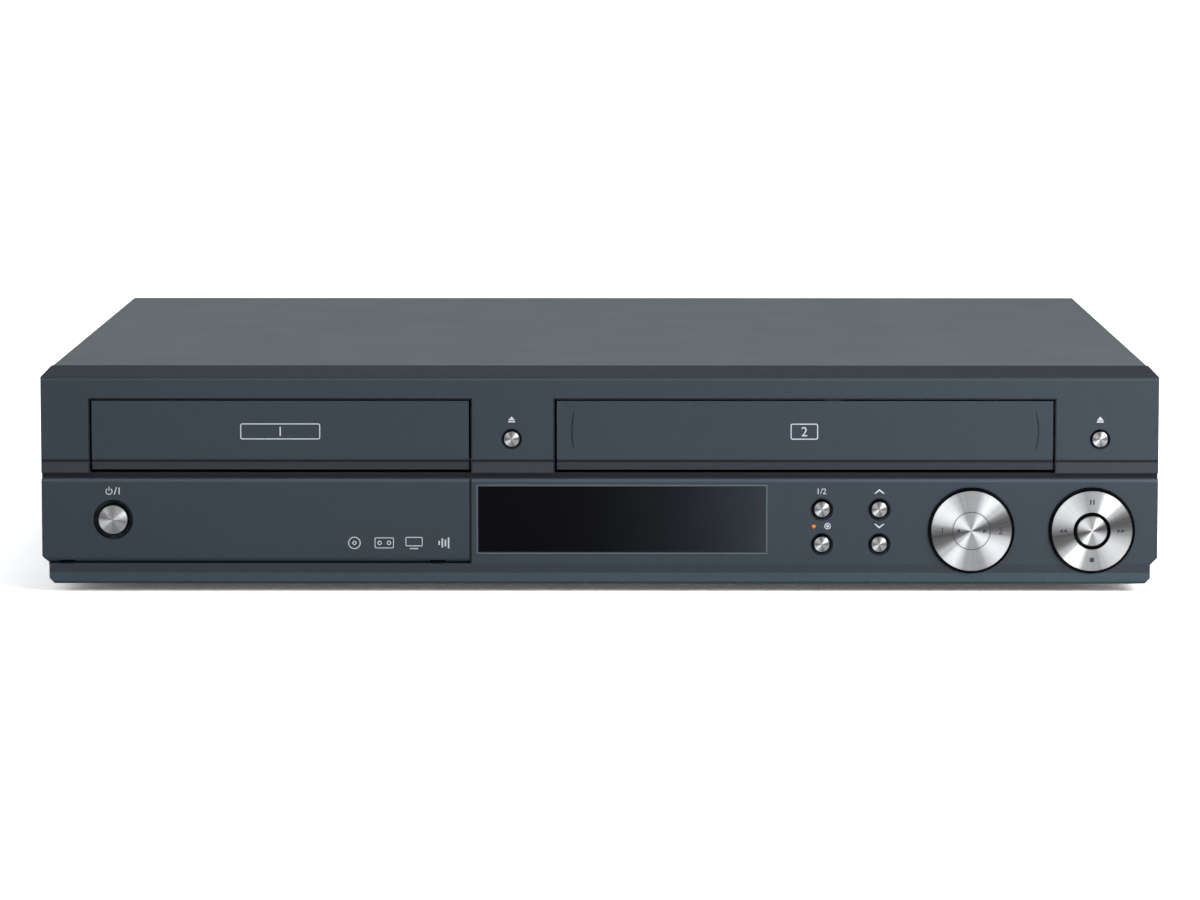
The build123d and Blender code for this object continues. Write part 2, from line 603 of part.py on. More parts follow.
def panel_backing():
    """Walls behind the face: flap plate, input bay, dial wells, bosses and ribs."""
    top = FACE_MIDDLE
    low = SPIGOT_LOW
    plate_x = (-SPIGOT_HALF, FLAP_RIGHT + 4 * GAP)
    parts = [block(plate_x, (FLAP_WALL_FRONT, FLAP_PLATE_BACK), (low, top))]
    bay_x = (BAY_LEFT - BAY_WALL, BAY_RIGHT + BAY_WALL)
    bay_z = (BAY_Z[0] - BAY_WALL, BAY_Z[1] + BAY_WALL)
    parts.append(block(bay_x, (FLAP_WALL_FRONT, BAY_DEPTH + BAY_WALL), bay_z))
    for x, z in DIALS:
        parts.append(rod_y(x, z, DIAL_WELL_RADIUS + BAY_WALL, (0, DIAL_WELL_DEPTH + BAY_WALL)))
    for x in (WINDOW_X[0] + BOARD_MARGIN, WINDOW_X[1] + 2 * BOARD_MARGIN, (COPY_X + PLAY_X) / 2):
        for z in (CONTROL_BOARD_Z[0] + BOSS_RADIUS, CONTROL_BOARD_Z[1] - BOSS_RADIUS):
            parts.append(rod_y(x, z, BOSS_RADIUS, (WINDOW_WALL + GAP, CONTROL_BOARD_FRONT)))
    for x, width in ((DISC_X, DISC_DOOR_WIDTH), (TAPE_X, TAPE_DOOR_WIDTH)):
        span = around(x, width / 2 + DOOR_GAP)
        parts.append(block(span, (CHANNEL_DEPTH, SILL_BACK), (FACE_MIDDLE, CHANNEL_TOP)))
    for x in (OPEN_BUTTON_X, EJECT_BUTTON_X):
        for side in (-1, 1):
            z = FOOT_HEIGHT + DOOR_BUTTON_Z + side * (SWITCH_SIDE + BOSS_RADIUS)
            parts.append(rod_y(x, z, BOSS_RADIUS, (GAP, CONTROL_BOARD_FRONT)))
    for side in (-1, 1):
        x = POWER_X + side * (POWER_WELL_RADIUS + BOSS_RADIUS)
        parts.append(rod_y(x, POWER_HEIGHT, BOSS_RADIUS, (FLAP_WALL_FRONT, CONTROL_BOARD_FRONT)))
    return parts


def panel_cuts():
    """Every opening and relief of the front panel."""
    across = around(0, FACE_WIDTH)
    chin_top = FOOT_HEIGHT + CHIN_HEIGHT
    cove = [(0, FACE_LOW), (CHIN_INSET, chin_top), (CHIN_INSET, 0), (-OUT, 0), (-OUT, FACE_LOW)]
    cuts = [prism_x(cove, across)]
    cuts.append(block(across, (-OUT, CHANNEL_DEPTH), (FACE_MIDDLE, CHANNEL_TOP)))
    slope_top = LIP_TOP - LIP_GROOVE
    lip = [(0, slope_top), (LIP_SLOPE, CHANNEL_TOP), (-OUT, CHANNEL_TOP), (-OUT, slope_top)]
    cuts.append(prism_x(lip, across))
    cuts.append(block(across, (-OUT, LIP_GROOVE), (slope_top, LIP_TOP)))
    for x, width in ((DISC_X, DISC_DOOR_WIDTH), (TAPE_X, TAPE_DOOR_WIDTH)):
        span = around(x, width / 2 + DOOR_GAP)
        cuts.append(block(span, (-OUT, PANEL_BACK), (CHANNEL_TOP, DOOR_TOP + DOOR_GAP)))
    flap_x = (-FACE_WIDTH, FLAP_RIGHT + GAP)
    cuts.append(block(flap_x, (-OUT, FLAP_WALL_FRONT), (FACE_LOW, FACE_MIDDLE)))
    roll = rod_x(FLAP_HINGE_Y, FLAP_HINGE_Z, FLAP_ROLL_RADIUS + GAP, flap_x)
    cuts.append(roll)
    cuts.append(block((BAY_LEFT, BAY_RIGHT), (0, BAY_DEPTH), BAY_Z))
    cuts.append(block(WINDOW_X, (-OUT, WINDOW_WALL), WINDOW_Z))
    ledge_x = (WINDOW_X[0] + WINDOW_LEDGE, WINDOW_X[1] - WINDOW_LEDGE)
    ledge_z = (WINDOW_Z[0] + WINDOW_LEDGE, WINDOW_Z[1] - WINDOW_LEDGE)
    cuts.append(block(ledge_x, (-OUT, FACE_WALL + GAP), ledge_z))
    for x, z, cap, well in KEYS.values():
        cuts.append(rod_y(x, z, well, (-OUT, WELL_DEPTH)))
        cuts.append(rod_y(x, z, cap + BUTTON_SLACK, (-OUT, FACE_WALL + GAP)))
    guide = POWER_CAP_RADIUS + BUTTON_SLACK
    cuts.append(rod_y(POWER_X, POWER_HEIGHT, guide, (-OUT, FLAP_PLATE_BACK + GAP)))
    cuts.append(rod_y(LAMP_X, FOOT_HEIGHT + LAMP_Z, LAMP_RADIUS + GAP / 2, (-OUT, FACE_WALL + GAP)))
    for x, z in DIALS:
        cuts.append(rod_y(x, z, DIAL_WELL_RADIUS, (-OUT, DIAL_WELL_DEPTH)))
        hole = RING_HOLE_RADIUS + RING_TUBE_WALL + DIAL_EDGE
        cuts.append(rod_y(x, z, hole, (-OUT, DIAL_WELL_DEPTH + 2 * BAY_WALL)))
    for index in range(INPUT_COUNT):
        x = INPUT_FIRST_X + index * INPUT_PITCH
        cuts.append(rod_y(x, BAY_MIDDLE, PHONO_COLLAR_RADIUS + GAP / 2, (0, BAY_DEPTH + 2 * BAY_WALL)))
    radius = ROUND_INPUT_RADIUS + GAP / 2
    cuts.append(rod_y(ROUND_INPUT_X, BAY_MIDDLE, radius, (0, BAY_DEPTH + 2 * BAY_WALL)))
    return cuts


def panel_lugs():
    """Bearings on the panel: flap hinge lugs, cassette flap ears and dial pivots."""
    parts = []
    for middle in (FLAP_NOTCH_LEFT, FLAP_NOTCH_RIGHT):
        span = around(middle, FLAP_NOTCH_LENGTH / 2 - GAP)
        lug = rod_x(FLAP_HINGE_Y, FLAP_HINGE_Z, FLAP_LUG_RADIUS, span)
        neck_z = around(FLAP_HINGE_Z, FLAP_LUG_RADIUS * 0.75)
        lug += block(span, (FLAP_HINGE_Y, FLAP_PLATE_BACK), neck_z)
        parts.append(lug - rod_x(FLAP_HINGE_Y, FLAP_HINGE_Z, FLAP_PIN_RADIUS + PIN_SLACK, span))
    return parts


def flap_ears():
    """Ears under the top rail that carry the pins of the cassette flap."""
    ears = []
    for side in (-1, 1):
        middle = TAPE_X + side * (TAPE_DOOR_WIDTH / 2 - TAPE_HINGE_INSET + RIB + GAP)
        span = around(middle, RIB)
        low = TAPE_HINGE_Z - TAPE_PIN_RADIUS - RIB
        ear = block(span, (FACE_WALL - GAP, TAPE_HINGE_Y + 2 * RIB), (low, SPIGOT_TOP - RIB))
        ears.append(ear - rod_x(TAPE_HINGE_Y, TAPE_HINGE_Z, TAPE_PIN_RADIUS + PIN_SLACK, span))
    return ears


LUG_IN = RING_HOLE_RADIUS + RING_TUBE_WALL + 2 * DIAL_EDGE
LUG_IN_PLAY = LUG_IN + GIMBAL_WALL + GAP
LUG_WALL = 2.4


def dial_lugs():
    """Bearings for the tilting dials behind their wells."""
    lugs = []
    pin = DIAL_PIN_RADIUS + PIN_SLACK
    depth = (DIAL_WELL_DEPTH + BAY_WALL / 2, DIAL_PIVOT_BACK + 2 * DIAL_PIN_RADIUS)
    for (x, z), upright, reach in zip(DIALS, (True, False), (LUG_IN, LUG_IN_PLAY)):
        for side in (-1, 1):
            along = sorted((side * reach, side * (reach + LUG_WALL)))
            if upright:
                span = (z + along[0], z + along[1])
                lug = block(around(x, LUG_WALL), depth, span)
                lug -= rod_z(x, DIAL_PIVOT_BACK, pin, span)
            else:
                span = (x + along[0], x + along[1])
                lug = block(span, depth, around(z, LUG_WALL))
                lug -= rod_x(DIAL_PIVOT_BACK, z, pin, span)
            lugs.append(lug)
    return lugs


def front_panel():
    """The whole front moulding."""
    panel = panel_body() + panel_backing()
    panel -= panel_cuts()
    return panel + panel_lugs() + flap_ears() + dial_lugs()


def input_flap():
    """Drop-down flap over the inputs, hinged along its rounded lower edge."""
    left = -FACE_WIDTH / 2
    span = (left, FLAP_RIGHT)
    flap = block(span, (0, FLAP_WALL), (FLAP_HINGE_Z, FACE_MIDDLE))
    flap += rod_x(FLAP_HINGE_Y, FLAP_HINGE_Z, FLAP_ROLL_RADIUS, span)
    corner = [(left, FLAP_HINGE_Z), (left, 0), (left + SIDE_SHOULDER, 0)]
    corner.append((left + SIDE_SHOULDER, FACE_LOW + GAP))
    flap -= prism_y(corner, (-OUT, 2 * OUT))
    for middle in (FLAP_NOTCH_LEFT, FLAP_NOTCH_RIGHT):
        notch = around(middle, FLAP_NOTCH_LENGTH / 2)
        high = FLAP_HINGE_Z + FLAP_ROLL_RADIUS
        flap -= block(notch, (FLAP_SKIN, 2 * OUT), (0, high))
        flap -= block(notch, (-OUT, 2 * OUT), (0, FLAP_HINGE_Z - FLAP_LUG_RADIUS))
        flap += rod_x(FLAP_HINGE_Y, FLAP_HINGE_Z, FLAP_PIN_RADIUS, notch)
    flap -= rod_y(POWER_X, POWER_HEIGHT, POWER_WELL_RADIUS, (-OUT, 2 * OUT))
    return flap


def crescent(x, side):
    """A shallow moulded crescent on the face of the cassette flap."""
    middle = DOOR_TOP - DOOR_HEIGHT / 2 + DOOR_LIP_HEIGHT / 2
    chord = CRESCENT_HEIGHT / 2
    outer = ThreePointArc((0, -chord), (side * CRESCENT_BULGE, 0), (0, chord))
    inner = ThreePointArc((0, chord), (side * CRESCENT_BULGE / 2, 0), (0, -chord))
    face = make_face(outer + inner)
    plane = Plane(origin=(x, CRESCENT_DEPTH, middle), x_dir=(1, 0, 0), z_dir=(0, -1, 0))
    return extrude(plane * face, OUT)


def door_plate(x, width):
    """A door face with its sloped lower lip and the thin groove above it."""
    slope_top = LIP_TOP - LIP_GROOVE
    edge = LIP_SLOPE * (slope_top - DOOR_LOW) / (slope_top - CHANNEL_TOP)
    outline = [
        (0, DOOR_TOP),
        (0, LIP_TOP),
        (LIP_GROOVE, LIP_TOP),
        (LIP_GROOVE, slope_top),
        (0, slope_top),
        (edge, DOOR_LOW),
        (DOOR_WALL, DOOR_LOW),
        (DOOR_WALL, DOOR_TOP),
    ]
    return prism_x(outline, around(x, width / 2))


def cassette_flap():
    """The hinged flap in front of the cassette slot, with its two hinge arms."""
    flap = door_plate(TAPE_X, TAPE_DOOR_WIDTH)
    for side in (-1, 1):
        end = TAPE_X + side * TAPE_DOOR_WIDTH / 2
        flap -= crescent(end - side * CRESCENT_INSET, side)
        inner = end - side * TAPE_HINGE_INSET
        arm_x = tuple(sorted((inner, inner - side * 2 * RIB)))
        radius = TAPE_PIN_RADIUS + 0.5 * RIB
        arm = rod_x(TAPE_HINGE_Y, TAPE_HINGE_Z, radius, arm_x)
        arm += block(arm_x, around(TAPE_HINGE_Y, radius), (DOOR_TOP - 2 * OUT, TAPE_HINGE_Z))
        arm += block(arm_x, (DOOR_WALL, TAPE_HINGE_Y), (DOOR_TOP - 2 * OUT, DOOR_TOP - RIB))
        pin_x = tuple(sorted((inner, inner + side * (2 * RIB + GAP))))
        flap += arm + rod_x(TAPE_HINGE_Y, TAPE_HINGE_Z, TAPE_PIN_RADIUS, pin_x)
    rib_x = around(TAPE_X, TAPE_DOOR_WIDTH / 2 - 2 * TAPE_HINGE_INSET)
    flap += block(rib_x, (DOOR_WALL, DOOR_WALL + RIB), (DOOR_TOP - 2 * RIB, DOOR_TOP - RIB))
    return flap


def tray_fascia():
    """The face of the disc tray, with two clips that reach back to the tray."""
    face = door_plate(DISC_X, DISC_DOOR_WIDTH)
    for side in (-1, 1):
        x = DISC_X + side * TRAY_HALF / 2
        face += block(around(x, 2 * OUT), (DOOR_WALL, TRAY_FRONT), (TRAY_UNDER, TRAY_TOP))
    return face


def push_button(x, z, cap_radius, wall_back):
    """A round button: domed cap, retaining flange behind the wall and stem to the switch."""
    flange = wall_back + GAP
    outline = [
        (0, -BUTTON_PROUD - 0.1 * cap_radius),
        (0.5 * cap_radius, -BUTTON_PROUD - 0.075 * cap_radius),
        (cap_radius - GAP, -BUTTON_PROUD),
        (cap_radius, -BUTTON_PROUD + GAP),
        (cap_radius, flange),
        (cap_radius + BUTTON_FLANGE, flange),
        (cap_radius + BUTTON_FLANGE, flange + BUTTON_FLANGE),
        (BUTTON_STEM_RADIUS, flange + BUTTON_FLANGE),
        (BUTTON_STEM_RADIUS, STEM_END),
        (0, STEM_END),
    ]
    return turned_y(x, z, outline)


def copy_rocker():
    """Left dial: a disc that rocks sideways on an upright pin."""
    x, z = DIALS[0]
    back = DIAL_WALL - DIAL_PROUD
    ring = COPY_DISC_RADIUS
    outline = [
        (0, -DIAL_PROUD),
        (ring, -DIAL_PROUD),
        (ring, GAP - DIAL_PROUD),
        (ring + GAP, GAP - DIAL_PROUD),
        (ring + GAP, -DIAL_PROUD),
        (DIAL_RADIUS - DIAL_EDGE, -DIAL_PROUD),
        (DIAL_RADIUS, DIAL_EDGE - DIAL_PROUD),
        (DIAL_RADIUS, back - DIAL_EDGE),
        (DIAL_RADIUS - DIAL_EDGE, back),
        (COPY_HUB_RADIUS, back),
        (COPY_HUB_RADIUS, DIAL_PIVOT_BACK + DIAL_PIN_RADIUS),
        (0, DIAL_PIVOT_BACK + DIAL_PIN_RADIUS),
    ]
    dial = turned_y(x, z, outline)
    reach = LUG_IN + LUG_WALL
    dial += rod_z(x, DIAL_PIVOT_BACK, DIAL_PIN_RADIUS, around(z, reach))
    arm_z = around(z, LUG_IN - GAP)
    return dial + block(around(x, 2 * DIAL_PIN_RADIUS), around(DIAL_PIVOT_BACK, DIAL_PIN_RADIUS), arm_z)


def play_ring():
    """Right dial: a ring that tilts on the gimbal, around the play button."""
    x, z = DIALS[1]
    back = DIAL_WALL - DIAL_PROUD
    tube = RING_HOLE_RADIUS + RING_TUBE_WALL
    outline = [
        (RING_HOLE_RADIUS, -DIAL_PROUD),
        (DIAL_RADIUS - DIAL_EDGE, -DIAL_PROUD),
        (DIAL_RADIUS, DIAL_EDGE - DIAL_PROUD),
        (DIAL_RADIUS, back - DIAL_EDGE),
        (DIAL_RADIUS - DIAL_EDGE, back),
        (tube, back),
        (tube, DIAL_PIVOT_BACK + 1.5 * DIAL_PIN_RADIUS),
        (RING_HOLE_RADIUS, DIAL_PIVOT_BACK + 1.5 * DIAL_PIN_RADIUS),
    ]
    ring = turned_y(x, z, outline)
    for side in (-1, 1):
        span = sorted((z + side * (tube - RING_TUBE_WALL / 2), z + side * (LUG_IN + GIMBAL_WALL)))
        ring += rod_z(x, DIAL_PIVOT_BACK, DIAL_PIN_RADIUS, span)
    return ring


def ring_gimbal():
    """Carrier between the play ring and the panel: it tilts up and down, the ring sideways."""
    x, z = DIALS[1]
    depth = around(DIAL_PIVOT_BACK, GIMBAL_DEPTH / 2)
    outer = LUG_IN + GIMBAL_WALL
    carrier = rod_y(x, z, outer, depth) - rod_y(x, z, LUG_IN, depth)
    carrier -= rod_z(x, DIAL_PIVOT_BACK, DIAL_PIN_RADIUS + PIN_SLACK, around(z, 2 * outer))
    for side in (-1, 1):
        span = sorted((x + side * (LUG_IN + GAP), x + side * (LUG_IN_PLAY + LUG_WALL)))
        carrier += rod_x(DIAL_PIVOT_BACK, z, DIAL_PIN_RADIUS, span)
    return carrier


PLAY_GUIDE_RADIUS = PLAY_CAP_RADIUS + BUTTON_SLACK
PLAY_GUIDE_BACK = STEM_END - 2 * GAP


def play_button():
    """The button in the middle of the play ring, on a guided stem."""
    x, z = DIALS[1]
    front = -DIAL_PROUD - BUTTON_PROUD
    outline = [
        (0, front - GAP),
        (PLAY_CAP_RADIUS - GAP, front),
        (PLAY_CAP_RADIUS, front + GAP),
        (PLAY_CAP_RADIUS, DIAL_WALL),
        (PLAY_STEM_RADIUS, DIAL_WALL),
        (PLAY_STEM_RADIUS, STEM_END),
        (0, STEM_END),
    ]
    return turned_y(x, z, outline)


def display_window():
    """Smoked window let into the face."""
    return block(WINDOW_X, (0, WINDOW_WALL), WINDOW_Z)


def display_tube():
    """Fluorescent display and the frame that holds it off the control board."""
    margin = WINDOW_LEDGE + BOARD_MARGIN
    x = (WINDOW_X[0] + margin, WINDOW_X[1] - margin)
    z = (WINDOW_Z[0] + WINDOW_LEDGE + GAP, WINDOW_Z[1] - WINDOW_LEDGE - GAP)
    back = FACE_WALL + GAP + TUBE_WALL
    tube = block(x, (FACE_WALL + GAP, back), z)
    return tube + block((x[0] + margin, x[1] - margin), (back, CONTROL_BOARD_FRONT), (z[0], z[1] - margin))


def switch_places():
    """Where the key switches stand: (x, z) of every button."""
    places = [(x, z) for x, z, cap, well in KEYS.values()]
    return places + [(POWER_X, POWER_HEIGHT), DIALS[1]]


def key_switches():
    """Key switches on the boards, with the guide sleeve of the play button."""
    pieces = []
    for x, z in switch_places():
        side = SWITCH_SIDE / 2
        body = block(around(x, side), (SWITCH_FRONT, CONTROL_BOARD_FRONT), around(z, side))
        pieces.append(body + rod_y(x, z, SWITCH_PLUNGER_RADIUS, (PLUNGER_FRONT, SWITCH_FRONT)))
    x, z = DIALS[1]
    front = PLAY_GUIDE_BACK - 2 * RIB / 3 - RIB
    sleeve = rod_y(x, z, PLAY_GUIDE_RADIUS, (front, CONTROL_BOARD_FRONT))
    sleeve -= rod_y(x, z, PLAY_GUIDE_RADIUS - RIB, (PLAY_GUIDE_BACK, CONTROL_BOARD_FRONT))
    sleeve -= rod_y(x, z, PLAY_STEM_RADIUS + PIN_SLACK, (front, CONTROL_BOARD_FRONT))
    return pieces + [sleeve]


def control_boards():
    """Circuit boards behind the front: keys and display, two door keys, and power key."""
    depth = (CONTROL_BOARD_FRONT, BOARD_BACK)
    boards = [block(CONTROL_BOARD_X, depth, CONTROL_BOARD_Z)]
    half = SWITCH_SIDE + 2 * BOSS_RADIUS
    for x in (OPEN_BUTTON_X, EJECT_BUTTON_X):
        z = FOOT_HEIGHT + DOOR_BUTTON_Z
        boards.append(block(around(x, SWITCH_SIDE), depth, around(z, half)))
    power_half = POWER_WELL_RADIUS + 2 * BOSS_RADIUS
    boards.append(block(around(POWER_X, power_half), depth, around(POWER_HEIGHT, SWITCH_SIDE)))
    return boards


def record_lamp():
    """Small lamp beside the record button: lens in the face, body on the control board."""
    z = FOOT_HEIGHT + LAMP_Z
    lens = rod_y(LAMP_X, z, LAMP_RADIUS, (0, FACE_WALL + GAP))
    return lens + rod_y(LAMP_X, z, 1.6 * LAMP_RADIUS, (FACE_WALL + GAP, CONTROL_BOARD_FRONT))


def phono_socket(x, z, seat, outward):
    """A phono socket: threaded-look sleeve and collar on a seat at y, facing one way along Y."""
    tip = seat + outward * PHONO_LENGTH
    collar = seat + outward * PHONO_COLLAR
    bottom = seat + outward * PHONO_COLLAR / 2
    outline = [
        (PHONO_BORE, bottom),
        (PHONO_BORE, tip),
        (PHONO_RADIUS - GAP, tip),
        (PHONO_RADIUS, tip - outward * GAP),
        (PHONO_RADIUS, collar),
        (PHONO_COLLAR_RADIUS, collar),
        (PHONO_COLLAR_RADIUS, seat),
        (0, seat),
        (0, bottom),
    ]
    return turned_y(x, z, outline)


def input_jacks():
    """Front input unit: body behind the bay, three phono sockets and a round socket."""
    seat = BAY_DEPTH + BAY_WALL
    x = (BAY_LEFT, BAY_RIGHT)
    z = (BAY_Z[0], BAY_Z[1])
    unit = block(x, (seat, seat + JACK_BLOCK_DEPTH), z)
    for index in range(INPUT_COUNT):
        socket_x = INPUT_FIRST_X + index * INPUT_PITCH
        unit += phono_socket(socket_x, BAY_MIDDLE, seat, -1)
    ring = rod_y(ROUND_INPUT_X, BAY_MIDDLE, ROUND_INPUT_RADIUS, (BAY_DEPTH - BAY_WALL, seat))
    unit += ring
    return unit - rod_y(ROUND_INPUT_X, BAY_MIDDLE, ROUND_INPUT_RADIUS - RIB / 2, (0, seat + OUT))


# ---- Disc drive ----------------------------------------------------------------------------
SPINDLE_Y = SPINDLE_BACK
RACK_LINE = DISC_X + RACK_OFFSET
RACK_Z = (TRAY_UNDER - GEAR_FACE, TRAY_UNDER)
LOADER_X = around(DISC_X, LOADER_HALF)
LOADER_FLOOR_TOP = LOADER_UNDER + LOADER_FLOOR
ROD_Z = TRAVERSE_UNDER + TRAVERSE_WALL + ROD_RADIUS + GAP
TRAVERSE_PIVOT_Y = TRAVERSE_BACK - 2 * TRAVERSE_PIN_RADIUS
TRAVERSE_PIVOT_Z = TRAVERSE_UNDER + TRAVERSE_PIN_RADIUS
PULLEY_Z = around(BELT_Z, PULLEY_FACE / 2)


def drive_bracket():
    """Folded steel stand that carries the disc drive above the input and power boards."""
    out = LOADER_HALF + BRACKET_SHEET
    y = (LOADER_FRONT + 2 * BRACKET_FOOT, LOADER_BACK)
    top = (LOADER_UNDER - BRACKET_SHEET, LOADER_UNDER)
    plate = block(around(DISC_X, out), y, top)
    window = LOADER_HALF - BRACKET_RIM
    plate -= block(around(DISC_X, window), (y[0] + BRACKET_FOOT, y[1] - BRACKET_FOOT), (0, HEIGHT))
    for side in (-1, 1):
        leg_x = sorted((DISC_X + side * out, DISC_X + side * LOADER_HALF))
        foot_x = sorted((DISC_X + side * out, DISC_X + side * (LOADER_HALF - BRACKET_FOOT)))
        plate += block(leg_x, y, (PAN_TOP, LOADER_UNDER))
        plate += block(foot_x, y, (PAN_TOP, PAN_TOP + BRACKET_SHEET))
        slot = (y[0] + 3 * BRACKET_FOOT, y[1] - 3 * BRACKET_FOOT)
        slot_z = (PAN_TOP + BRACKET_FOOT, LOADER_UNDER - BRACKET_FOOT)
        plate -= block(leg_x, slot, slot_z)
    return plate


def loader_frame():
    """Plastic frame of the disc drive: floor, side walls with tray grooves, and clamp bridge."""
    y = (LOADER_FRONT, LOADER_BACK)
    frame = block(LOADER_X, y, (LOADER_UNDER, TRAY_TOP + 2 * LOADER_WALL))
    inner = around(DISC_X, LOADER_HALF - LOADER_WALL)
    inner_y = (LOADER_FRONT - OUT, LOADER_BACK - LOADER_WALL)
    frame -= block(inner, inner_y, (LOADER_FLOOR_TOP, HEIGHT))
    opening = around(DISC_X, TRAVERSE_HALF + 2 * LOADER_WALL)
    frame -= block(opening, (TRAVERSE_FRONT - OUT, TRAVERSE_BACK + OUT), (0, LOADER_FLOOR_TOP))
    post_z = (TRAVERSE_UNDER, TRAVERSE_PIVOT_Z + TRAVERSE_PIN_RADIUS + LOADER_WALL)
    for side in (-1, 1):
        wall = DISC_X + side * (LOADER_HALF - LOADER_WALL)
        shelf_x = sorted((wall, DISC_X + side * (TRAY_HALF - 2 * LOADER_WALL)))
        low = (TRAY_UNDER - TRAY_SLACK - LOADER_WALL, TRAY_UNDER - TRAY_SLACK)
        if side > 0:
            frame += block(shelf_x, (LOADER_FRONT, LOADER_BACK - LOADER_WALL), low)
        else:
            rack_shelf_x = sorted((wall, RACK_LINE - RACK_BACK_WALL - LOADER_WALL))
            frame += block(rack_shelf_x, (LOADER_FRONT, LOADER_BACK - LOADER_WALL), low)
        high = (TRAY_TOP + TRAY_SLACK, TRAY_TOP + TRAY_SLACK + LOADER_WALL)
        for start in (LOADER_FRONT, SPINDLE_Y + BRIDGE_LENGTH):
            frame += block(shelf_x, (start, start + 2 * BRACKET_FOOT), high)
        inner_end = DISC_X + side * (TRAVERSE_HALF + GAP)
        outer_end = DISC_X + side * (TRAVERSE_HALF + 3 * LOADER_WALL)
        post_x = sorted((inner_end, outer_end))
        post = block(post_x, around(TRAVERSE_PIVOT_Y, 2 * LOADER_WALL), post_z)
        bearing = TRAVERSE_PIN_RADIUS + PIN_SLACK
        frame += post
        frame -= rod_x(TRAVERSE_PIVOT_Y, TRAVERSE_PIVOT_Z, bearing, post_x)
        ear_x = sorted((wall, DISC_X + side * LOADER_HALF))
        ear_z = (TRAY_TOP, LOADER_TOP - BRIDGE_WALL)
        frame += block(ear_x, around(SPINDLE_Y, BRIDGE_LENGTH / 2), ear_z)
    frame += rod_z(GEAR_X, GEAR_BACK, GEAR_BORE, (LOADER_FLOOR_TOP, TRAY_UNDER - GAP))
    frame -= rod_z(MOTOR_X, TRAY_MOTOR_BACK, TRAY_MOTOR_RADIUS / 2, (0, LOADER_FLOOR_TOP))
    return frame


def clamp_bridge():
    """Steel bridge over the tray that holds the clamper above the disc."""
    z = (LOADER_TOP - BRIDGE_WALL, LOADER_TOP)
    bridge = block(LOADER_X, around(SPINDLE_Y, BRIDGE_LENGTH / 2), z)
    return bridge - rod_z(DISC_X, SPINDLE_Y, BRIDGE_HOLE_RADIUS, z)


def disc_tray():
    """Sliding tray: two disc wells, slot for pickup and turntable, and the rack below."""
    x = around(DISC_X, TRAY_HALF)
    y = (TRAY_FRONT, TRAY_FRONT + TRAY_LENGTH)
    tray = block(x, y, (TRAY_UNDER, TRAY_TOP))
    well = DISC_RADIUS + DISC_SLACK
    floor = TRAY_TOP - DISC_WELL_DEPTH
    small_floor = floor - SMALL_WELL_DEPTH
    tray -= rod_z(DISC_X, SPINDLE_Y, well, (floor, HEIGHT))
    tray -= rod_z(DISC_X, SPINDLE_Y, SMALL_DISC_RADIUS + DISC_SLACK, (small_floor, HEIGHT))
    hollow = TRAY_WALL - DISC_WELL_DEPTH - SMALL_WELL_DEPTH - RIB
    under = (TRAY_UNDER - OUT, TRAY_UNDER + hollow)
    edge = 2 * OUT
    tray -= block((x[0] + edge, x[1] - edge), (y[0] + edge, y[1] - edge), under)
    slot = around(DISC_X, SLED_SLOT_HALF)
    tray -= block(slot, (SPINDLE_Y, SLED_SLOT_BACK), (0, HEIGHT))
    tray -= rod_z(DISC_X, SPINDLE_Y, TURNTABLE_RADIUS + 2 * RIB, (0, HEIGHT))
    for side in (-1, 1):
        rib_x = around(DISC_X + side * (SLED_SLOT_HALF + 2 * RIB), RIB / 2)
        tray += block(rib_x, (y[0] + edge, y[1] - edge), (TRAY_UNDER, small_floor - RIB / 2))
    return tray + rack(y)


def rack(y):
    """Toothed rack along the left underside of the tray."""
    pitch = math.pi * GEAR_MODULE
    slope = math.tan(math.radians(GEAR_PRESSURE))
    half = pitch / 4 - GEAR_SLACK / 4
    tip = half - GEAR_MODULE * slope
    root = half + 1.25 * GEAR_MODULE * slope
    count = RACK_PITCHES
    start = GEAR_BACK - pitch * 2
    deep = RACK_LINE - 1.25 * GEAR_MODULE
    crest = RACK_LINE + GEAR_MODULE
    points = [(deep - RACK_BACK_WALL, start - pitch)]
    points.append((deep, start - pitch))
    for index in range(count):
        middle = start + pitch * index
        points.append((deep, middle - root))
        points.append((crest, middle - tip))
        points.append((crest, middle + tip))
        points.append((deep, middle + root))
    last = start + pitch * count
    points += [(deep, last), (deep - RACK_BACK_WALL, last)]
    return prism_z(points, RACK_Z)


def tray_drive_gear():
    """Upright gear that meets the rack, with the belt pulley below it."""
    turn = math.pi + math.pi / GEAR_TEETH
    points = gear_outline(GEAR_MODULE, GEAR_TEETH, GEAR_SLACK, turn)
    moved = [(GEAR_X + px, GEAR_BACK + py) for px, py in points]
    gear = prism_z(moved, (PULLEY_Z[1], RACK_Z[1] - GAP))
    gear += pulley(GEAR_X, GEAR_BACK, PULLEY_RADIUS)
    gear -= rod_z(GEAR_X, GEAR_BACK, GEAR_BORE + PIN_SLACK, (0, HEIGHT))
    return gear


def pulley(x, y, radius):
    """A belt pulley with a shallow groove; radius is at the bottom of the groove."""
    rim = radius + BELT_WALL
    outline = [
        (0, PULLEY_Z[0]),
        (rim, PULLEY_Z[0]),
        (rim, PULLEY_Z[0] + GAP),
        (radius, PULLEY_Z[0] + 2 * GAP),
        (radius, PULLEY_Z[1] - 2 * GAP),
        (rim, PULLEY_Z[1] - GAP),
        (rim, PULLEY_Z[1]),
        (0, PULLEY_Z[1]),
    ]
    return turned_z(x, y, outline)


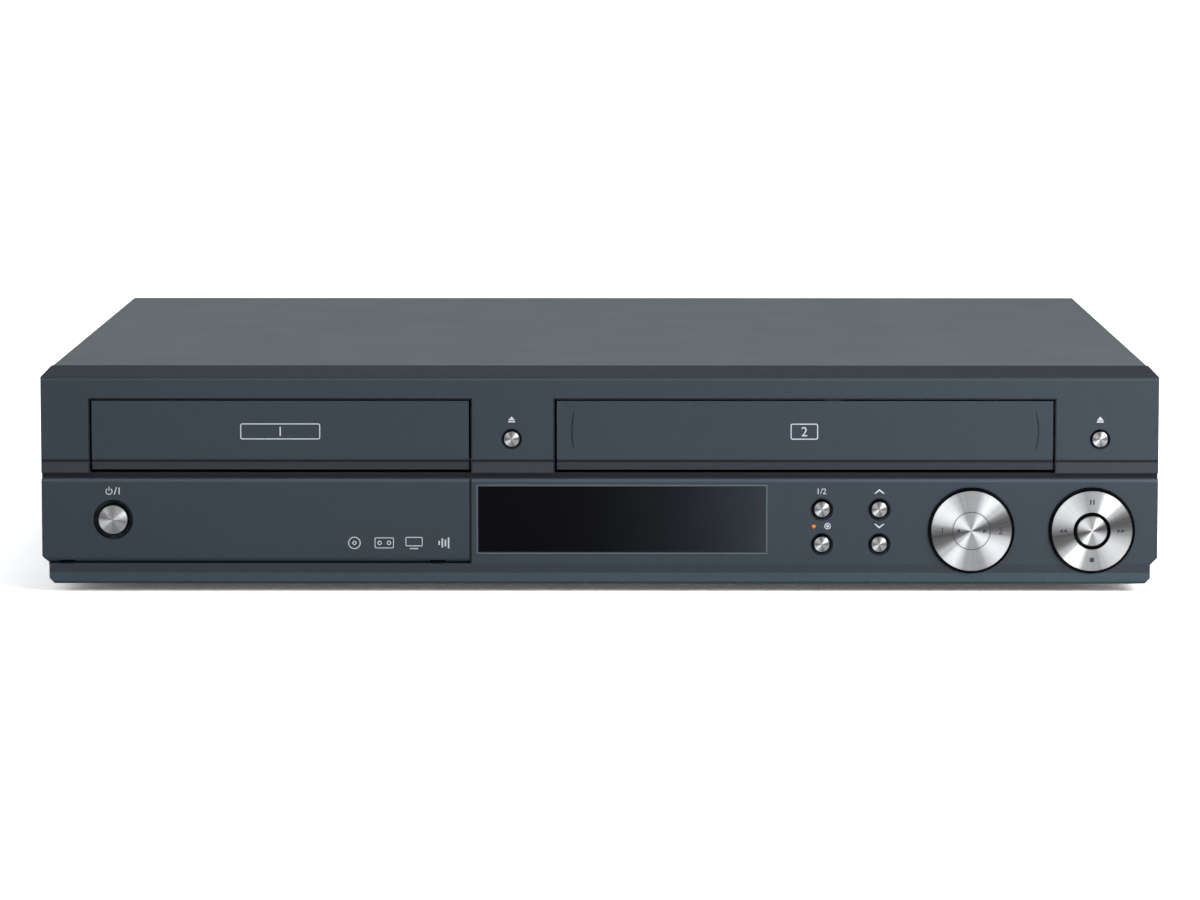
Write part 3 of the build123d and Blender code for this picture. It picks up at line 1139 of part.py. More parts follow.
def motor_pulley():
    """Small pulley on the shaft of the tray motor."""
    shaft = rod_z(MOTOR_X, TRAY_MOTOR_BACK, MOTOR_SHAFT_RADIUS, (LOADER_UNDER - OUT / 2, PULLEY_Z[1] + GAP))
    return pulley(MOTOR_X, TRAY_MOTOR_BACK, MOTOR_PULLEY_RADIUS) + shaft


def tray_motor():
    """Tray motor hung under the loader frame."""
    z = (LOADER_UNDER - TRAY_MOTOR_LENGTH, LOADER_UNDER)
    motor = rod_z(MOTOR_X, TRAY_MOTOR_BACK, TRAY_MOTOR_RADIUS, z)
    motor += rod_z(MOTOR_X, TRAY_MOTOR_BACK, TRAY_MOTOR_RADIUS / 2 - GAP, (z[1], LOADER_FLOOR_TOP))
    bore = MOTOR_SHAFT_RADIUS + PIN_SLACK
    return motor - rod_z(MOTOR_X, TRAY_MOTOR_BACK, bore, (z[1] - OUT / 2, LOADER_FLOOR_TOP))


def drive_belt():
    """Square rubber belt from the motor pulley to the gear pulley."""
    along = math.hypot(MOTOR_X - GEAR_X, TRAY_MOTOR_BACK - GEAR_BACK)
    turn = math.degrees(math.atan2(TRAY_MOTOR_BACK - GEAR_BACK, MOTOR_X - GEAR_X))
    big = PULLEY_RADIUS + GAP
    small = MOTOR_PULLEY_RADIUS + GAP

    def loop(extra):
        """A stadium of two unlike circles and their outer tangents."""
        lean = math.acos((big - small) / along)
        top = (math.cos(lean), math.sin(lean))
        outer = [Vector(top[0] * (big + extra), side * top[1] * (big + extra)) for side in (1, -1)]
        reach = small + extra
        inner = [Vector(along + top[0] * reach, side * top[1] * reach) for side in (1, -1)]
        line = ThreePointArc(outer[0], (-(big + extra), 0), outer[1])
        line += Line(outer[1], inner[1])
        line += ThreePointArc(inner[1], (along + small + extra, 0), inner[0])
        line += Line(inner[0], outer[0])
        return make_face(line)

    face = loop(BELT_WALL) - loop(0)
    height = PULLEY_FACE - 6 * GAP
    place = Pos(GEAR_X, GEAR_BACK, BELT_Z - height / 2) * Rot(0, 0, turn)
    return place * extrude(face, height)


def traverse_plate():
    """Lifting plate with the spindle motor and the two guide rods of the sled."""
    x = around(DISC_X, TRAVERSE_HALF)
    z = (TRAVERSE_UNDER, TRAVERSE_UNDER + TRAVERSE_WALL)
    plate = block(x, (TRAVERSE_FRONT, TRAVERSE_BACK), z)
    gap_y = (SPINDLE_Y + SPINDLE_MOTOR_RADIUS + RIB, TRAVERSE_BACK - 2 * OUT - 2 * RIB)
    plate -= block(around(DISC_X, SLED_HALF - RIB), gap_y, (0, HEIGHT))
    motor_z = (z[1], TURNTABLE_TOP - TURNTABLE_WALL - 2 * GAP)
    plate += rod_z(DISC_X, SPINDLE_Y, SPINDLE_MOTOR_RADIUS, motor_z)
    plate -= rod_z(DISC_X, SPINDLE_Y, SPINDLE_RADIUS + PIN_SLACK, (0, HEIGHT))
    rod_y_span = (SPINDLE_Y + SPINDLE_MOTOR_RADIUS + 2 * RIB, TRAVERSE_BACK - 2 * OUT)
    for side in (-1, 1):
        rod_x_place = DISC_X + side * ROD_OFFSET
        plate += rod_y(rod_x_place, ROD_Z, ROD_RADIUS, rod_y_span)
        for end in rod_y_span:
            plate += block(around(rod_x_place, 2 * RIB), around(end, RIB), (z[0], ROD_Z + ROD_RADIUS))
        pin_x = sorted((DISC_X + side * TRAVERSE_HALF, DISC_X + side * (TRAVERSE_HALF + 2 * LOADER_WALL + 1)))
        plate += rod_x(TRAVERSE_PIVOT_Y, TRAVERSE_PIVOT_Z, TRAVERSE_PIN_RADIUS, pin_x)
        ear_x = around(DISC_X + side * (TRAVERSE_HALF - RIB), RIB)
        plate += block(ear_x, around(TRAVERSE_PIVOT_Y, 2 * RIB), (z[0], z[1] + RIB))
    for end in (rod_y_span[0], rod_y_span[1]):
        bearing = block(around(DISC_X + SCREW_OFFSET, 2 * RIB), around(end, RIB), (z[0], ROD_Z + 2 * RIB))
        plate += bearing - rod_y(DISC_X + SCREW_OFFSET, ROD_Z, LEAD_RADIUS + PIN_SLACK, around(end, OUT))
    return plate


def lead_screw():
    """Screw that drives the sled, with a collar at each end."""
    x = DISC_X + SCREW_OFFSET
    start = SPINDLE_Y + SPINDLE_MOTOR_RADIUS + RIB
    end = TRAVERSE_BACK - 2 * OUT + RIB
    screw = rod_y(x, ROD_Z, LEAD_RADIUS, (start, end))
    threads = int((SLED_TRAVEL + SLED_LENGTH) / LEAD_PITCH)
    for index in range(threads):
        ring = SLED_FRONT + OUT / 2 + index * LEAD_PITCH
        screw += rod_y(x, ROD_Z, LEAD_RADIUS + GAP, around(ring, GAP))
    return screw + rod_y(x, ROD_Z, LEAD_RADIUS + GAP, (end + GAP, end + 2 * RIB))


def pickup_sled():
    """Optical pickup: sled on two rods, with the lens on top and a nut beside the screw."""
    y = (SLED_FRONT, SLED_FRONT + SLED_LENGTH)
    low = TRAVERSE_UNDER + TRAVERSE_WALL + GAP
    sled = block(around(DISC_X, SLED_HALF), y, (low, SLED_TOP))
    wing_z = (low, ROD_Z + ROD_RADIUS + RIB)
    sled += block(around(DISC_X, ROD_OFFSET + 2 * RIB), (y[0] + OUT, y[1] - OUT), wing_z)
    for side in (-1, 1):
        sled -= rod_y(DISC_X + side * ROD_OFFSET, ROD_Z, ROD_RADIUS + PIN_SLACK, y)
    sled -= block(around(DISC_X, SLED_HALF), y, (0, low))
    sled += rod_z(DISC_X, y[0] + LENS_RADIUS + RIB, LENS_RADIUS, (SLED_TOP, SLED_TOP + 2 * GAP))
    return sled


def turntable():
    """Disc turntable: platter, centring hub and spindle."""
    outline = [
        (0, TRAVERSE_UNDER + 2 * GAP),
        (SPINDLE_RADIUS, TRAVERSE_UNDER + 2 * GAP),
        (SPINDLE_RADIUS, TURNTABLE_TOP - TURNTABLE_WALL),
        (TURNTABLE_RADIUS, TURNTABLE_TOP - TURNTABLE_WALL),
        (TURNTABLE_RADIUS, TURNTABLE_TOP),
        (HUB_RADIUS, TURNTABLE_TOP),
        (HUB_RADIUS, TURNTABLE_TOP + HUB_HEIGHT / 2),
        (HUB_RADIUS - HUB_HEIGHT / 2, TURNTABLE_TOP + HUB_HEIGHT),
        (0, TURNTABLE_TOP + HUB_HEIGHT),
    ]
    return turned_z(DISC_X, SPINDLE_Y, outline)


def clamper():
    """Clamper puck hung in the bridge by its flange, with a recess for the hub."""
    low = TRAY_TOP + RIB
    outline = [
        (HUB_RADIUS + RIB, low),
        (CLAMPER_RADIUS, low),
        (CLAMPER_RADIUS, low + 2 * RIB),
        (CLAMPER_NECK_RADIUS, low + 2 * RIB),
        (CLAMPER_NECK_RADIUS, LOADER_TOP + GAP),
        (CLAMPER_RADIUS, LOADER_TOP + GAP),
        (CLAMPER_RADIUS, LOADER_TOP + GAP + RIB),
        (0, LOADER_TOP + GAP + RIB),
        (0, low + 2 * RIB),
        (HUB_RADIUS + RIB, low + 2 * RIB),
    ]
    return turned_z(DISC_X, SPINDLE_Y, outline)


# ---- Cassette deck -------------------------------------------------------------------------
REEL_Y = REEL_BACK
DECK_X = around(TAPE_X, CARRIAGE_OUT)
PIN_HIGH = HOLDER_TOP - 2 * GUIDE_PIN_RADIUS
HOLDER_Y = (HOLDER_FRONT, HOLDER_FRONT + HOLDER_LENGTH)
PIN_YS = (HOLDER_FRONT + 5 * GUIDE_PIN_RADIUS, HOLDER_FRONT + HOLDER_LENGTH - 5 * GUIDE_PIN_RADIUS)
RAIL_Z = CARRIAGE_TOP - 3 * GUIDE_PIN_RADIUS


def deck_plate():
    """Deck plate on its legs: guide tracks, reel posts, bearings and pivot posts."""
    z = (DECK_TOP - DECK_WALL, DECK_TOP)
    plate = block(DECK_X, (DECK_FRONT, DECK_BACK), z)
    front_gap = block(around(TAPE_X, REEL_SPACING / 2), (DECK_FRONT + 2 * OUT, REEL_Y - 5 * OUT), z)
    plate -= front_gap
    for side in (-1, 1):
        plate -= guide_track(side, z)
        for y in (DECK_FRONT + DECK_LEG_RADIUS, DECK_BACK - DECK_LEG_RADIUS):
            leg_x = TAPE_X + side * (CARRIAGE_OUT - DECK_LEG_RADIUS)
            plate += rod_z(leg_x, y, DECK_LEG_RADIUS, (PAN_TOP, z[0]))
        reel_x = TAPE_X + side * REEL_SPACING / 2
        plate += rod_z(reel_x, REEL_Y, REEL_POST_RADIUS, (z[1], DECK_TOP + REEL_LIFT + REEL_HEIGHT - RIB))
        plate += rod_z(reel_x, REEL_Y, REEL_HUB_RADIUS - RIB, (z[1], DECK_TOP + REEL_LIFT - GAP))
    plate += rod_z(CAPSTAN_X, CAPSTAN_BACK, CAPSTAN_COLLAR_RADIUS, (z[0], DECK_TOP + 2 * OUT))
    plate -= rod_z(CAPSTAN_X, CAPSTAN_BACK, CAPSTAN_RADIUS + PIN_SLACK, (0, HEIGHT))
    post_top = DECK_TOP + 2 * RIB + PINCH_ARM_WALL + GAP
    plate += rod_z(PINCH_X, PINCH_PIVOT_BACK, 2 * RIB, (z[1], DECK_TOP + 2 * RIB - GAP))
    plate += rod_z(PINCH_X, PINCH_PIVOT_BACK, RIB, (z[1], post_top))
    return plate


def guide_ends(side):
    """Where a tape guide rests and where it stops beside the drum."""
    start = (DRUM_X + side * GUIDE_START_OFFSET, GUIDE_START_BACK)
    end = (DRUM_X + side * GUIDE_END_OFFSET, GUIDE_END_BACK)
    return start, end


def guide_track(side, z):
    """The straight track of a tape guide through the deck plate."""
    start, end = guide_ends(side)
    length = math.dist(start, end)
    turn = math.degrees(math.atan2(end[1] - start[1], end[0] - start[0]))
    width = 2 * (GUIDE_KEEL_RADIUS + GAP)
    shape = SlotOverall(length + width + GAP, width)
    place = Pos((start[0] + end[0]) / 2, (start[1] + end[1]) / 2, z[0] - OUT) * Rot(0, 0, turn)
    return place * extrude(shape, z[1] - z[0] + 2 * OUT)


def tape_guide(side):
    """Tape guide that draws the tape round the drum: block, keel in the track and roller."""
    x, y = guide_ends(side)[0]
    low = DECK_TOP + GAP
    top = low + GUIDE_BLOCK + GUIDE_POLE_HEIGHT
    outline = [
        (0, DECK_TOP - DECK_WALL - 2 * RIB),
        (GUIDE_KEEL_RADIUS + RIB, DECK_TOP - DECK_WALL - 2 * RIB),
        (GUIDE_KEEL_RADIUS + RIB, DECK_TOP - DECK_WALL - GAP),
        (GUIDE_KEEL_RADIUS, DECK_TOP - DECK_WALL - GAP),
        (GUIDE_KEEL_RADIUS, low),
        (GUIDE_BLOCK_RADIUS, low),
        (GUIDE_BLOCK_RADIUS, low + GUIDE_BLOCK),
        (GUIDE_POLE_RADIUS, low + GUIDE_BLOCK),
        (GUIDE_POLE_RADIUS, top - 2 * RIB),
        (GUIDE_POLE_RADIUS + RIB / 2, top - 2 * RIB),
        (GUIDE_POLE_RADIUS + RIB / 2, top - RIB),
        (GUIDE_POLE_RADIUS / 2, top),
        (0, top),
    ]
    return turned_z(x, y, outline)


def slide_slot(y0, y1, z, low):
    """Outline of the L-shaped slot in a slot plate, drawn as (y, z) points."""
    half = GUIDE_PIN_RADIUS + SLOT_SLACK
    return [
        (y0 - half, z + half),
        (y0 - half, z - half),
        (y1 - half, z - half),
        (y1 - half, low),
        (y1 + half, low),
        (y1 + half, z + half),
    ]


def slot_plates():
    """The two upright plates beside the cassette, with rail slots and L-shaped pin slots."""
    plates = []
    travel = SHUTTLE_TRAVEL
    for side in (-1, 1):
        x = sorted((TAPE_X + side * CARRIAGE_IN, TAPE_X + side * CARRIAGE_OUT))
        plate = block(x, (HOLDER_FRONT, CARRIAGE_BACK), (DECK_TOP, CARRIAGE_TOP))
        half = GUIDE_PIN_RADIUS + SLOT_SLACK
        slot_y = (PIN_YS[0] - half, PIN_YS[1] + travel + half)
        plate -= block(x, slot_y, around(RAIL_Z, half))
        for pin_y in PIN_YS[:1]:
            shape = slide_slot(pin_y, pin_y + travel, PIN_HIGH, PIN_HIGH - HOLDER_DROP - half)
            plate -= prism_x(shape, x)
        window_y = (HOLDER_FRONT + OUT, HOLDER_FRONT + HOLDER_LENGTH)
        plate -= block(x, window_y, (DECK_TOP + OUT, PIN_HIGH - HOLDER_DROP))
        plates.append(plate)
    bar_y = (CARRIAGE_BACK - SHUTTLE_BAR_LENGTH, CARRIAGE_BACK)
    bar = block(DECK_X, bar_y, (CARRIAGE_TOP, CARRIAGE_TOP + CARRIAGE_SHEET))
    return plates + [bar]


def carriage_shuttle():
    """Sliding frame that runs back and forth in the slot plates and carries the holder."""
    top = CARRIAGE_TOP - GAP
    low = PIN_HIGH - HOLDER_DROP - 3 * GUIDE_PIN_RADIUS
    y = (HOLDER_FRONT + RIB, HOLDER_FRONT + HOLDER_LENGTH - RIB)
    middle_y = (y[0] + y[1]) / 2
    bar_z = (top - SHUTTLE_SHEET, top)
    half = SHUTTLE_BAR_LENGTH / 2
    shuttle = block(around(TAPE_X, SHUTTLE_OUT), (middle_y - half, middle_y + half), bar_z)
    for side in (-1, 1):
        x = sorted((TAPE_X + side * SHUTTLE_IN, TAPE_X + side * SHUTTLE_OUT))
        plate = block(x, y, (low, top))
        for pin_y in PIN_YS:
            half = GUIDE_PIN_RADIUS + SLOT_SLACK
            slot_z = (PIN_HIGH - HOLDER_DROP - half, PIN_HIGH + half)
            plate -= block(x, around(pin_y, GUIDE_PIN_RADIUS + SLOT_SLACK), slot_z)
            pin_x = sorted((TAPE_X + side * SHUTTLE_IN, TAPE_X + side * CARRIAGE_OUT))
            plate += rod_x(pin_y, RAIL_Z, GUIDE_PIN_RADIUS, pin_x)
        shuttle += plate
    return shuttle


def cassette_holder():
    """Basket for the cassette: top plate, sides, lower ledges and pins into the shuttle."""
    z = (HOLDER_LOW, HOLDER_TOP)
    holder = block(around(TAPE_X, HOLDER_HALF), HOLDER_Y, z)
    inner = around(TAPE_X, HOLDER_HALF - HOLDER_SHEET)
    long_y = (HOLDER_Y[0] - OUT, HOLDER_Y[1] + OUT)
    holder -= block(inner, long_y, (CASSETTE_REST, HOLDER_TOP - HOLDER_SHEET))
    ledge = HOLDER_HALF - HOLDER_SHEET - HOLDER_LEDGE
    holder -= block(around(TAPE_X, ledge), long_y, (0, CASSETTE_REST))
    window = around(TAPE_X, REEL_SPACING / 4)
    holder -= block(window, (HOLDER_Y[0] + OUT, HOLDER_Y[1] - OUT), (CASSETTE_REST, HEIGHT))
    for side in (-1, 1):
        for pin_y in PIN_YS:
            pin_x = sorted((TAPE_X + side * HOLDER_HALF, TAPE_X + side * (CARRIAGE_IN - GAP)))
            holder += rod_x(pin_y, PIN_HIGH, GUIDE_PIN_RADIUS, pin_x)
    return holder


def reel(side):
    """A reel table: toothed-look flange, hub and splined spindle on its post."""
    x = TAPE_X + side * REEL_SPACING / 2
    low = DECK_TOP + REEL_LIFT
    top = low + REEL_HEIGHT
    outline = [
        (REEL_POST_RADIUS + PIN_SLACK, low),
        (REEL_FLANGE_RADIUS, low),
        (REEL_FLANGE_RADIUS, low + REEL_FLANGE),
        (REEL_HUB_RADIUS + RIB, low + REEL_FLANGE),
        (REEL_HUB_RADIUS, low + REEL_FLANGE + RIB),
        (REEL_HUB_RADIUS, low + 2 * REEL_FLANGE + RIB),
        (REEL_SPINDLE_RADIUS, low + 2 * REEL_FLANGE + RIB),
        (REEL_SPINDLE_RADIUS, top - RIB),
        (REEL_SPINDLE_RADIUS - RIB, top),
        (REEL_POST_RADIUS + PIN_SLACK, top),
    ]
    table = turned_z(x, REEL_Y, outline)
    fin_z = (low + 2 * REEL_FLANGE, top - 2 * RIB)
    for index in range(SPLINE_COUNT):
        fin = block((REEL_SPINDLE_RADIUS - RIB, REEL_HUB_RADIUS), around(0, RIB / 2), fin_z)
        table += Pos(x, REEL_Y, 0) * Rot(0, 0, index * 360 / SPLINE_COUNT) * fin
    return table


def tilt_drum(shape):
    """Leans a piece of the drum, which is drawn upright, towards the cassette."""
    seat = DECK_TOP + DRUM_SEAT
    return Pos(DRUM_X, DRUM_BACK, seat) * Rot(DRUM_TILT, 0, 0) * Pos(-DRUM_X, -DRUM_BACK, -seat) * shape


def drum_base():
    """Fixed lower drum on its wedge seat, with the bearing for the rotor shaft."""
    seat = DECK_TOP + DRUM_SEAT
    lower = rod_z(DRUM_X, DRUM_BACK, DRUM_RADIUS, (seat, seat + DRUM_LOWER))
    lower -= rod_z(DRUM_X, DRUM_BACK, DRUM_SHAFT_RADIUS + PIN_SLACK, (seat + RIB, HEIGHT))
    foot = rod_z(DRUM_X, DRUM_BACK, DRUM_SEAT_RADIUS, (DECK_TOP, seat + DRUM_SEAT / 2))
    above = block(around(DRUM_X, DRUM_RADIUS), around(DRUM_BACK, DRUM_RADIUS), (seat + RIB / 2, HEIGHT))
    foot -= tilt_drum(above)
    return tilt_drum(lower) + foot


def drum_rotor():
    """Spinning upper drum with its shaft and raised hub."""
    low = DECK_TOP + DRUM_SEAT + DRUM_LOWER + GAP
    top = low + DRUM_UPPER
    outline = [
        (0, DECK_TOP + DRUM_SEAT + 2 * RIB),
        (DRUM_SHAFT_RADIUS, DECK_TOP + DRUM_SEAT + 2 * RIB),
        (DRUM_SHAFT_RADIUS, low),
        (DRUM_RADIUS, low),
        (DRUM_RADIUS, top - RIB / 2),
        (DRUM_RADIUS - RIB / 2, top),
        (DRUM_RADIUS - 2 * RIB, top),
        (DRUM_RADIUS - 3 * RIB, top - RIB),
        (DRUM_SHAFT_RADIUS + 4 * RIB, top - RIB),
        (DRUM_SHAFT_RADIUS + 3 * RIB, top + RIB),
        (0, top + RIB),
    ]
    rotor = turned_z(DRUM_X, DRUM_BACK, outline)
    for index in range(3):
        hole = rod_z(DRUM_RADIUS / 2 + 2 * RIB, 0, 2 * RIB, (top - 3 * RIB, top + OUT))
        rotor -= Pos(DRUM_X, DRUM_BACK, 0) * Rot(0, 0, index * 120) * hole
    return tilt_drum(rotor)


def capstan():
    """Capstan shaft with the flywheel under the deck plate."""
    wheel_top = DECK_TOP - DECK_WALL - 2 * GAP
    wheel = rod_z(CAPSTAN_X, CAPSTAN_BACK, FLYWHEEL_RADIUS, (wheel_top - FLYWHEEL, wheel_top))
    recess = rod_z(CAPSTAN_X, CAPSTAN_BACK, FLYWHEEL_RADIUS - 2 * RIB, (0, wheel_top - FLYWHEEL + RIB))
    hub = rod_z(CAPSTAN_X, CAPSTAN_BACK, 3 * RIB, (PAN_TOP + 2 * GAP, wheel_top))
    shaft = rod_z(CAPSTAN_X, CAPSTAN_BACK, CAPSTAN_RADIUS, (wheel_top, CAPSTAN_TOP))
    return (wheel - recess) + hub + shaft


def pinch_reach():
    """Resting place of the pinch roller, swung back from the capstan."""
    distance = math.dist((PINCH_X, PINCH_PIVOT_BACK), (CAPSTAN_X, CAPSTAN_BACK))
    near = CAPSTAN_RADIUS + PINCH_ROLLER_RADIUS + GAP
    bend = math.acos((distance**2 + PINCH_REACH**2 - near**2) / (2 * distance * PINCH_REACH))
    towards = math.atan2(CAPSTAN_BACK - PINCH_PIVOT_BACK, CAPSTAN_X - PINCH_X)
    angle = towards + bend + math.radians(PINCH_SWING)
    return (PINCH_X + PINCH_REACH * math.cos(angle), PINCH_PIVOT_BACK + PINCH_REACH * math.sin(angle))


PINCH_Z = (DECK_TOP + 2 * RIB, DECK_TOP + 2 * RIB + PINCH_ARM_WALL)
ROLLER_Z = (PINCH_Z[1] + 2 * OUT, PINCH_Z[1] + 2 * OUT + PINCH_ROLLER_HEIGHT)


def pinch_arm():
    """Swinging arm on its post, with the roller's shaft at the free end."""
    roller_x, roller_y = pinch_reach()
    turn = math.degrees(math.atan2(roller_y - PINCH_PIVOT_BACK, roller_x - PINCH_X))
    shape = SlotCenterToCenter(PINCH_REACH, 4 * RIB)
    middle = Pos((PINCH_X + roller_x) / 2, (PINCH_PIVOT_BACK + roller_y) / 2, PINCH_Z[0])
    arm = middle * Rot(0, 0, turn) * extrude(shape, PINCH_ARM_WALL)
    arm -= rod_z(PINCH_X, PINCH_PIVOT_BACK, RIB + PIN_SLACK, (0, HEIGHT))
    arm += rod_z(roller_x, roller_y, 2 * RIB, (PINCH_Z[1], ROLLER_Z[0] - GAP))
    return arm + rod_z(roller_x, roller_y, RIB, (PINCH_Z[1], ROLLER_Z[1] + RIB))


def pinch_roller():
    """Rubber roller on the pinch arm."""
    x, y = pinch_reach()
    roller = rod_z(x, y, PINCH_ROLLER_RADIUS, ROLLER_Z)
    return roller - rod_z(x, y, RIB + PIN_SLACK, ROLLER_Z)


def tape_heads():
    """Fixed erase and sound heads on their posts."""
    heads = []
    erase_spot = (DRUM_X - 2 * DRUM_RADIUS - OUT, GUIDE_END_BACK - 2 * OUT)
    sound_spot = (CAPSTAN_X + 2 * RIB, CAPSTAN_BACK + 4 * OUT)
    spots = (erase_spot, sound_spot)
    for x, y in spots:
        post = rod_z(x, y, 2 * RIB, (DECK_TOP, DECK_TOP + 2 * OUT))
        head_z = (DECK_TOP + 2 * OUT, DECK_TOP + 2 * OUT + HEAD_HEIGHT)
        heads.append(post + block(around(x, 2 * RIB), around(y, 4 * RIB), head_z))
    return heads


# ---- Casing and back -----------------------------------------------------------------------
COVER_SCREW_Z = PAN_TOP + SIDE_FLANGE_HEIGHT / 2
COVER_SCREW_YS = (60.0, 280.0)
REAR_SCREW_XS = (-120.0, 0.0, 120.0)
REAR_SCREW_Z = COVER_UNDER - REAR_LIP_HEIGHT / 2
FLANGE_OUT = COVER_IN - GAP
JACK_XS = [JACK_FIRST_X + index * JACK_PITCH_X for index in range(JACK_COLUMNS)]
JACK_ZS = [JACK_FIRST_Z + index * JACK_PITCH_Z for index in range(JACK_ROWS)]
AERIAL_ZS = (JACK_FIRST_Z, JACK_FIRST_Z + AERIAL_PITCH)
BOARD_BACK_EDGE = REAR_PANEL_FRONT - BOARD_MARGIN


def top_cover():
    """Steel wrap cover: top, two sides with vents and a folded lip at the back."""
    y = (COVER_FRONT, COVER_BACK)
    cover = block(around(0, COVER_HALF), y, (PAN_LOW, HEIGHT))
    edges = cover.edges().filter_by(Axis.Y).group_by(Axis.Z)[-1]
    cover = fillet(edges, SHEET)
    cover -= block(around(0, COVER_IN), (0, COVER_BACK + OUT), (0, COVER_UNDER))
    lip_z = (COVER_UNDER - REAR_LIP_HEIGHT, COVER_UNDER)
    lip = (lip_z[0], HEIGHT - SHEET / 2)
    cover += block(around(0, SPIGOT_HALF - RIB), (COVER_BACK - SHEET, COVER_BACK), lip)
    vent_z = around((PAN_LOW + HEIGHT) / 2, SIDE_VENT_HEIGHT / 2)
    for index in range(SIDE_VENT_COUNT):
        start = SIDE_VENT_START + index * SIDE_VENT_PITCH
        cover -= block(around(0, FACE_WIDTH), (start, start + SIDE_VENT_WIDTH), vent_z)
    hole = SCREW_SHANK_RADIUS + SCREW_HOLE_SLACK
    for y in COVER_SCREW_YS:
        cover -= rod_x(y, COVER_SCREW_Z, hole, around(0, FACE_WIDTH))
    for x in REAR_SCREW_XS:
        cover -= rod_y(x, REAR_SCREW_Z, hole, (COVER_BACK - 2 * SHEET, COVER_BACK + OUT))
    return cover


def chassis_pan():
    """Steel pan with side flanges, vents, stiffening beads and board posts."""
    y = (COVER_FRONT, REAR_PANEL_FRONT)
    pan = block(around(0, FLANGE_OUT), y, (PAN_LOW, PAN_TOP))
    flange_y = (PANEL_BACK + GAP, REAR_PANEL_FRONT)
    for side in (-1, 1):
        flange_x = sorted((side * FLANGE_OUT, side * (FLANGE_OUT - PAN_SHEET)))
        pan += block(flange_x, flange_y, (PAN_LOW, PAN_TOP + SIDE_FLANGE_HEIGHT))
    for index in range(FLOOR_VENT_COUNT):
        x = DISC_X + (index - (FLOOR_VENT_COUNT - 1) / 2) * FLOOR_VENT_PITCH
        slot_y = (COVER_BACK / 2 - FLOOR_VENT_LENGTH / 2, COVER_BACK / 2 + FLOOR_VENT_LENGTH / 2)
        pan -= block(around(x, FLOOR_VENT_WIDTH / 2), slot_y, (0, PAN_TOP))
    bead_y = (PANEL_BACK + 4 * OUT, FOOT_BACK)
    for x in (TAPE_X - 10 * OUT, TAPE_X + 4 * OUT):
        bead = rod_y(x, PAN_TOP - BEAD_RADIUS / 2, BEAD_RADIUS, bead_y)
        pan += bead & block(around(x, OUT), bead_y, (PAN_TOP, HEIGHT))
    for x, y_post, top in board_posts():
        pan += rod_z(x, y_post, STANDOFF_RADIUS, (PAN_LOW, top))
    hole = SCREW_SHANK_RADIUS + SCREW_HOLE_SLACK
    for y_screw in COVER_SCREW_YS:
        pan -= rod_x(y_screw, COVER_SCREW_Z, hole, around(0, FACE_WIDTH))
    return pan


POWER_BOARD_X = (-198.0, -60.0)
POWER_BOARD_Y = (212.0, 326.0)
AV_BOARD_X = (-44.0, 196.0)
AV_BOARD_Y = (262.0, BOARD_BACK_EDGE)
DISC_BOARD_Y = (212.0, 300.0)
POST_INSET = 5.0


def board_posts():
    """Posts of the pan under the corners of the boards: (x, y, top)."""
    posts = []
    for x_pair, y_pair, top in (
        (POWER_BOARD_X, POWER_BOARD_Y, BOARD_LOW),
        (AV_BOARD_X, AV_BOARD_Y, BOARD_LOW),
    ):
        for x in (x_pair[0] + POST_INSET, x_pair[1] - POST_INSET):
            for y in (y_pair[0] + POST_INSET, y_pair[1] - POST_INSET):
                posts.append((x, y, top))
    return posts


def rear_panel():
    """Steel rear panel with openings for sockets, aerials, mains inlet and fan."""
    y = (REAR_PANEL_FRONT, REAR_PANEL_BACK)
    panel = block(around(0, FLANGE_OUT), y, (PAN_LOW, COVER_UNDER - GAP))
    for x in JACK_XS:
        for z in JACK_ZS:
            panel -= rod_y(x, z, PHONO_COLLAR_RADIUS + GAP / 2, y)
    for z in AERIAL_ZS:
        panel -= rod_y(TUNER_X, z, AERIAL_RADIUS + GAP, y)
    inlet_x = around(INLET_X, INLET_WIDTH / 2 + GAP)
    panel -= block(inlet_x, y, around(INLET_Z, INLET_HEIGHT / 2 + GAP))
    for index in range(GRILLE_SLOTS):
        offset = (index - (GRILLE_SLOTS - 1) / 2) * GRILLE_SLOT_PITCH
        chord = 2 * math.sqrt(FAN_BLADE_RADIUS**2 - offset**2)
        panel -= slot_y(FAN_X + offset, FAN_Z, GRILLE_SLOT_WIDTH, chord, y)
    for x in REAR_SCREW_XS:
        panel -= rod_y(x, REAR_SCREW_Z, SCREW_SHANK_RADIUS + SCREW_HOLE_SLACK, y)
    return panel


def feet():
    """Four moulded feet under the pan."""
    outline = [
        (0, 0),
        (FOOT_RADIUS - FOOT_TAPER, 0),
        (FOOT_RADIUS, PAN_LOW - 1),
        (FOOT_RADIUS, PAN_LOW),
        (0, PAN_LOW),
    ]
    places = [(side * FOOT_SPACING / 2, y) for side in (-1, 1) for y in (FOOT_FRONT, FOOT_BACK)]
    return [turned_z(x, y, outline) for x, y in places]


